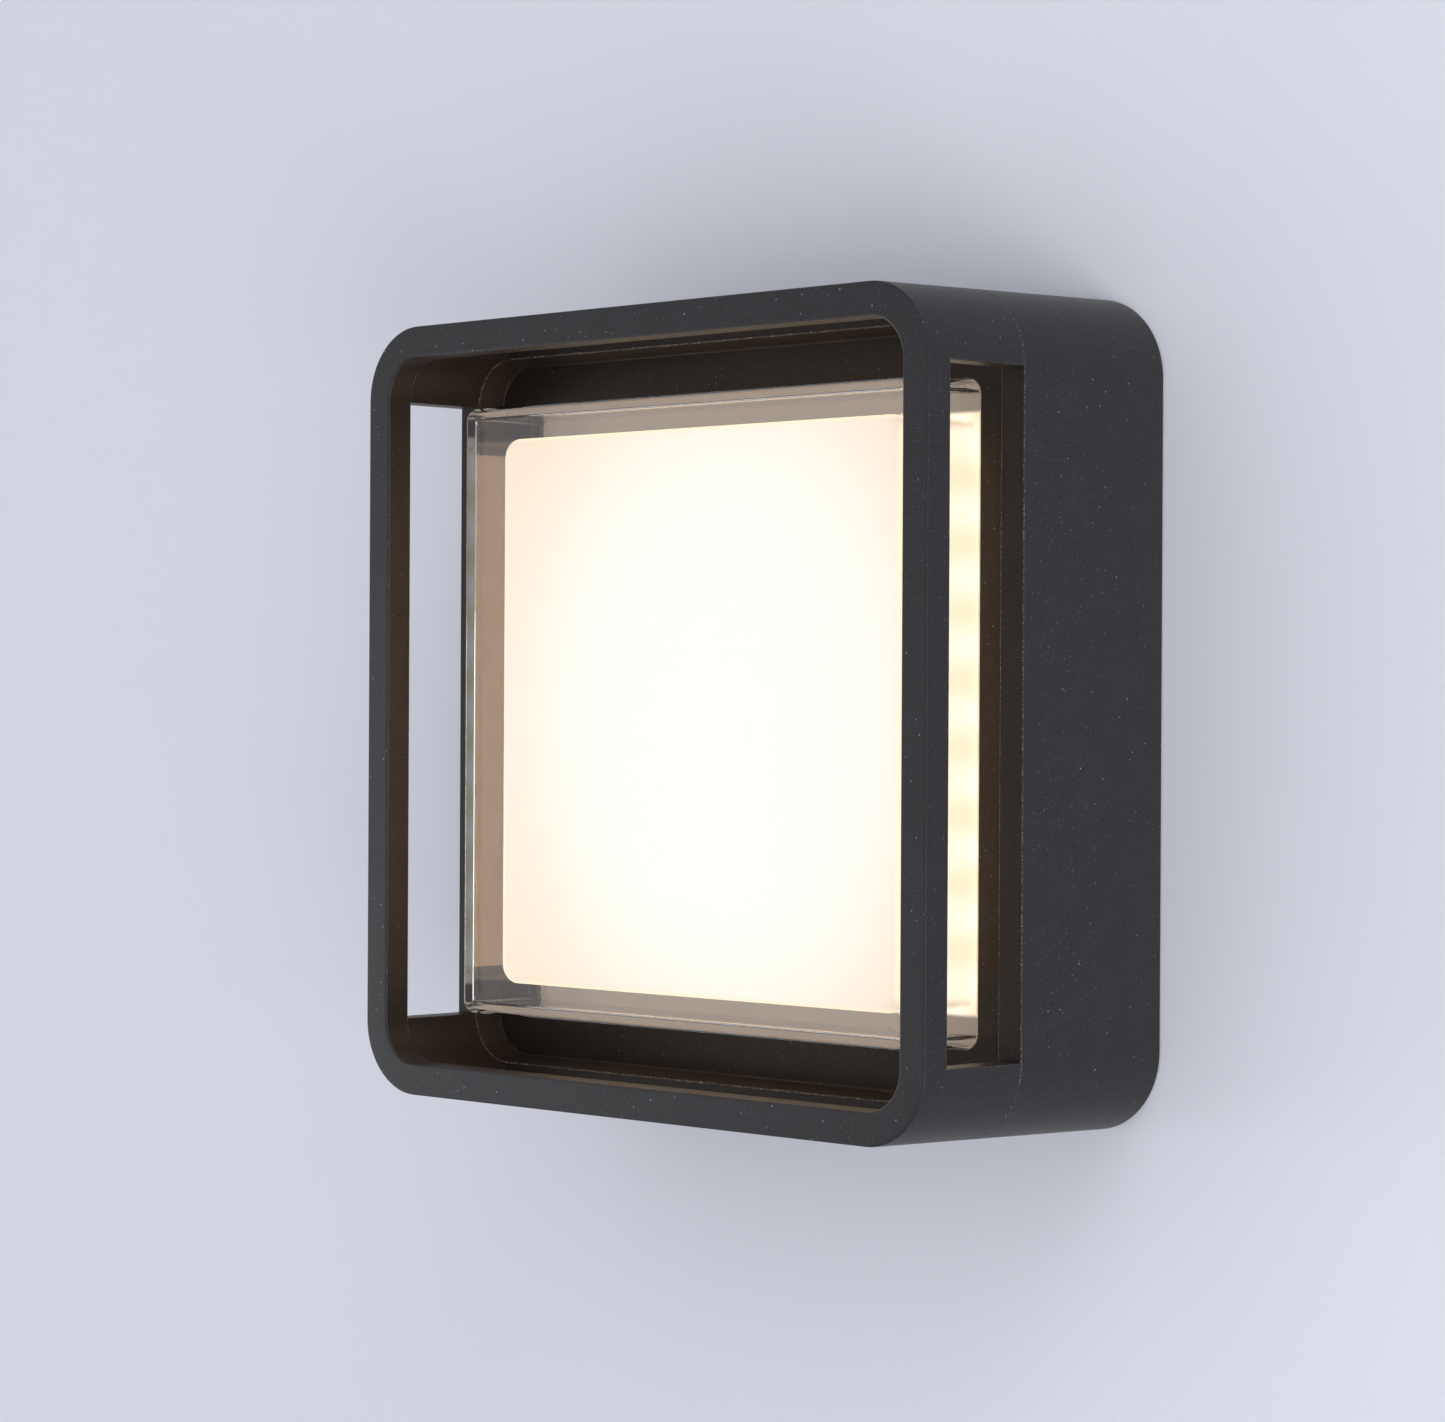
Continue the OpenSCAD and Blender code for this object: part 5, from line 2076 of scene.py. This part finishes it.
@dataclass
class ControlGear:
    """The parts behind the tray, finished from their CAD shapes with moulded or pressed edges."""

    roundings: dict[str, float] = field(
        default_factory=lambda: {
            "driver_case": 0.5,
            "driver_lid": 0.4,
            "driver_board": 0.12,
            "driver_components": 0.4,
            "terminal_block": 0.35,
            "terminal_screws": 0.12,
            "earth_lug": 0.1,
            "earth_screw": 0.15,
            "wire_grommet": 0.25,
        }
    )
    wires: tuple[str, ...] = ("mains_wires", "earth_wire", "led_wires")

    def finished(self, frame: dict, node: str, rounding: float) -> bpy.types.Object:
        """Returns a CAD node's shape as a clean mesh with rounded edges.

        Args:
            frame: the loaded frame.
            node: the CAD node.
            rounding: the radius of its edges, or 0 for none.
        """
        mesh = frame["nodes"][node].data.copy()
        mesh.name = node + "_finished"
        mesh.materials.clear()
        for name in [a.name for a in mesh.attributes if a.name == "custom_normal"]:
            mesh.attributes.remove(mesh.attributes[name])
        bm = bmesh.new()
        bm.from_mesh(mesh)
        bmesh.ops.remove_doubles(bm, verts=bm.verts, dist=0.002 * MM)
        bmesh.ops.dissolve_limit(bm, angle_limit=math.radians(1.5), verts=bm.verts, edges=bm.edges)
        bm.to_mesh(mesh)
        bm.free()
        obj = link_mesh(node + "_finished", mesh)
        if rounding > 0:
            soften(obj, rounding, 3, 40)
        return smooth(obj, 40)

    def build(self, frame: dict, slots: dict[str, Slot], palette: Palette) -> list[bpy.types.Object]:
        """Returns every finished part behind the tray.

        Args:
            frame: the loaded frame.
            slots: each node's finish.
            palette: the finishes.
        """
        made = []
        sizes = {**self.roundings, **{wire: 0.0 for wire in self.wires}}
        for node, rounding in sizes.items():
            obj = self.finished(frame, node, rounding)
            made.append(hand_over(obj, node, slots[node], palette))
        return made


# ---------------------------------------------------------------- studio


@dataclass
class Studio:
    """The wall, the floor, the lights and the camera."""

    wall_gap: float = 0.4
    wall_size: float = 3000.0
    floor_drop: float = 700.0
    lens: float = 98.19
    camera_place: tuple[float, float, float] = (0.70802, -0.74168, 0.00186)
    yaw: float = 45.631
    pitch: float = -0.086
    roll: float = 0.295
    glow: float = 4.6
    glow_ends: float = 0.4
    glow_colour: Colour = (1.0, 0.58, 0.32)

    def plane(self, name: str, corners: Sequence[Vector]) -> bpy.types.Object:
        """Returns a flat quad through four corners in metres.

        Args:
            name: the object's name.
            corners: its corners, anticlockwise seen from its face.
        """
        mesh = bpy.data.meshes.new(name)
        mesh.from_pydata([tuple(c) for c in corners], [], [(0, 1, 2, 3)])
        obj = link_mesh(name, mesh)
        return obj

    def backdrop_material(self, name: str, colour: Colour, one_sided: bool) -> bpy.types.Material:
        """Returns plain matt paint for the wall or the floor.

        Args:
            name: the material's name.
            colour: its colour.
            one_sided: True if only its face shows, so that the lamp's back can be seen through it.
        """
        material = bpy.data.materials.new(name)
        material.use_nodes = True
        tree = Tree(material.node_tree)
        shader = material.node_tree.nodes["Principled BSDF"]
        shader.inputs["Base Color"].default_value = (*colour, 1.0)
        shader.inputs["Roughness"].default_value = 0.95
        shader.inputs["Specular IOR Level"].default_value = 0.1
        if one_sided:
            path = tree.add("ShaderNodeLightPath")
            behind = tree.add("ShaderNodeNewGeometry").outputs["Backfacing"]
            seen = tree.maths("MULTIPLY", path.outputs["Is Camera Ray"], tree.maths("SUBTRACT", 1.0, behind))
            seen = tree.maths("MAXIMUM", seen, tree.maths("MULTIPLY", path.outputs["Is Transmission Ray"], tree.maths("SUBTRACT", 1.0, behind)))
            clear = tree.add("ShaderNodeBsdfTransparent")
            mix = tree.add("ShaderNodeMixShader", {0: seen, 1: clear.outputs[0], 2: shader.outputs[0]})
            tree.feed(material.node_tree.nodes["Material Output"].inputs["Surface"], mix.outputs[0])
        return material

    def build_stage(self) -> None:
        """Adds the wall and the floor."""
        reach = self.wall_size * MM
        drop = -self.floor_drop * MM
        gap = self.wall_gap * MM
        wall = self.plane("wall", [Vector((-reach, gap, drop)), Vector((reach, gap, drop)), Vector((reach, gap, reach)), Vector((-reach, gap, reach))])
        wall.data.materials.append(self.backdrop_material("wall_paint", (0.8, 0.81, 0.855), True))
        floor = self.plane("floor", [Vector((-reach, -reach, drop)), Vector((reach, -reach, drop)), Vector((reach, gap, drop)), Vector((-reach, gap, drop))])
        floor.data.materials.append(self.backdrop_material("floor_paint", (0.68, 0.68, 0.7), False))

    def area_light(self, name: str, where: Vector, aim: Vector, size: float, power: float, colour: Colour) -> None:
        """Adds one soft square light.

        Args:
            name: its name.
            where: its place in metres.
            aim: the point it faces.
            size: its side in metres.
            power: its power in watts.
            colour: its colour.
        """
        light = bpy.data.lights.new(name, "AREA")
        light.shape = "SQUARE"
        light.size = size
        light.energy = power
        light.color = colour
        obj = bpy.data.objects.new(name, light)
        obj.location = where
        obj.rotation_euler = (aim - where).to_track_quat("-Z", "Y").to_euler()
        bpy.context.scene.collection.objects.link(obj)

    def build_lights(self) -> None:
        """Adds the studio lights and the pale surroundings."""
        lamp = Vector((0, -0.04, 0))
        cool = (0.96, 0.98, 1.0)
        self.area_light("key", Vector((-1.9, -0.55, -0.42)), lamp, 1.0, 11.0, cool)
        self.area_light("top", Vector((0.8, -0.6, 1.2)), lamp, 0.9, 3.6, cool)
        self.area_light("under", Vector((1.1, -0.7, -0.42)), lamp, 0.7, 7.0, cool)
        world = bpy.data.worlds.new("surroundings")
        world.use_nodes = True
        shade = world.node_tree.nodes["Background"]
        shade.inputs["Color"].default_value = (0.78, 0.8, 0.85, 1.0)
        shade.inputs["Strength"].default_value = 0.8
        bpy.context.scene.world = world

    def build_glow(self) -> None:
        """Adds the light that leaves the opal diffuser, as hidden panels on its sides and its front."""
        half, front, base = 71.6, 60.0, 43.0
        height = front - base
        middle = (front + base) / 2
        sides = []
        for turn in range(4):
            angle = math.radians(90 * turn)
            out = Vector((math.cos(angle), 0, math.sin(angle)))
            sides.append((Vector((0, -middle, 0)) + half * out, out, 2 * half - 8, height))
        sides.append((Vector((0, -front - 0.2, 0)), Vector((0, -1, 0)), 2 * half - 8, 2 * half - 8))
        for number, (where, out, width, depth) in enumerate(sides):
            light = bpy.data.lights.new(f"glow_{number}", "AREA")
            light.shape = "RECTANGLE"
            light.size, light.size_y = width * MM, depth * MM
            share = self.glow_ends if number in (1, 3) else 1.0
            light.energy = share * self.glow * math.pi * width * depth * MM * MM
            light.color = self.glow_colour
            obj = bpy.data.objects.new(light.name, light)
            obj.matrix_world = Matrix.Translation(where * MM) @ out.to_track_quat("-Z", "Y").to_matrix().to_4x4()
            if number < 4:
                long_way = Vector((0, 1, 0)).cross(out)
                columns = (long_way, out.cross(long_way) * -1, -out)
                rows = [[column[i] for column in columns] for i in range(3)]
                obj.matrix_world = Matrix.Translation(where * MM) @ Matrix(rows).to_4x4()
            obj.visible_camera = False
            obj.visible_transmission = False
            bpy.context.scene.collection.objects.link(obj)
            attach(obj, "lamp")

    def build_camera(self) -> None:
        """Adds the camera, level with the lamp and in front of its right side."""
        camera = bpy.data.cameras.new("camera")
        camera.sensor_fit = "HORIZONTAL"
        camera.sensor_width = 36.0
        camera.lens = self.lens
        camera.clip_start = 0.01
        obj = bpy.data.objects.new("camera", camera)
        turn, tilt, roll = (math.radians(a) for a in (self.yaw, self.pitch, self.roll))
        forward = Vector((-math.sin(turn) * math.cos(tilt), math.cos(turn) * math.cos(tilt), math.sin(tilt)))
        right = forward.cross(Vector((0, 0, 1))).normalized()
        up = right.cross(forward)
        side = right * math.cos(roll) + up * math.sin(roll)
        top = up * math.cos(roll) - right * math.sin(roll)
        rows = [(side[i], top[i], -forward[i]) for i in range(3)]
        obj.matrix_world = Matrix.Translation(Vector(self.camera_place)) @ Matrix(rows).to_4x4()
        bpy.context.scene.collection.objects.link(obj)
        bpy.context.scene.camera = obj

    def build(self) -> None:
        """Sets up the whole studio."""
        self.build_stage()
        self.build_lights()
        self.build_glow()
        self.build_camera()
        bpy.context.scene.view_settings.view_transform = "Standard"


def main() -> None:
    """Builds the lamp round the frame and reports each piece."""
    logging.basicConfig(level=logging.INFO, format="%(name)s: %(message)s")
    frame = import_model()
    Studio().build()
    palette = Palette()
    slots = {part["node"]: Slot(part["material_slot"]) for part in frame["record"]["subparts"]}
    for name, node in frame["nodes"].items():
        palette.dress(node, slots[name])
    casing, layout = Casing(), Layout()
    made = [FrontFrame(casing, layout).build(palette), RearHousing(casing, layout).build(palette)]
    made += LightUnit().build(palette)
    made += Seals().build(palette)
    made += Fasteners(layout).build(palette)
    made.append(WallMount().build(palette))
    made += BackClosing(casing, layout).build(palette)
    made += LightEngine(casing, layout).build(palette)
    made += ControlGear().build(frame, slots, palette)
    for obj in made:
        log.info("%s: %d faces", obj.name, len(obj.data.polygons))


if __name__ == "__main__":
    main()
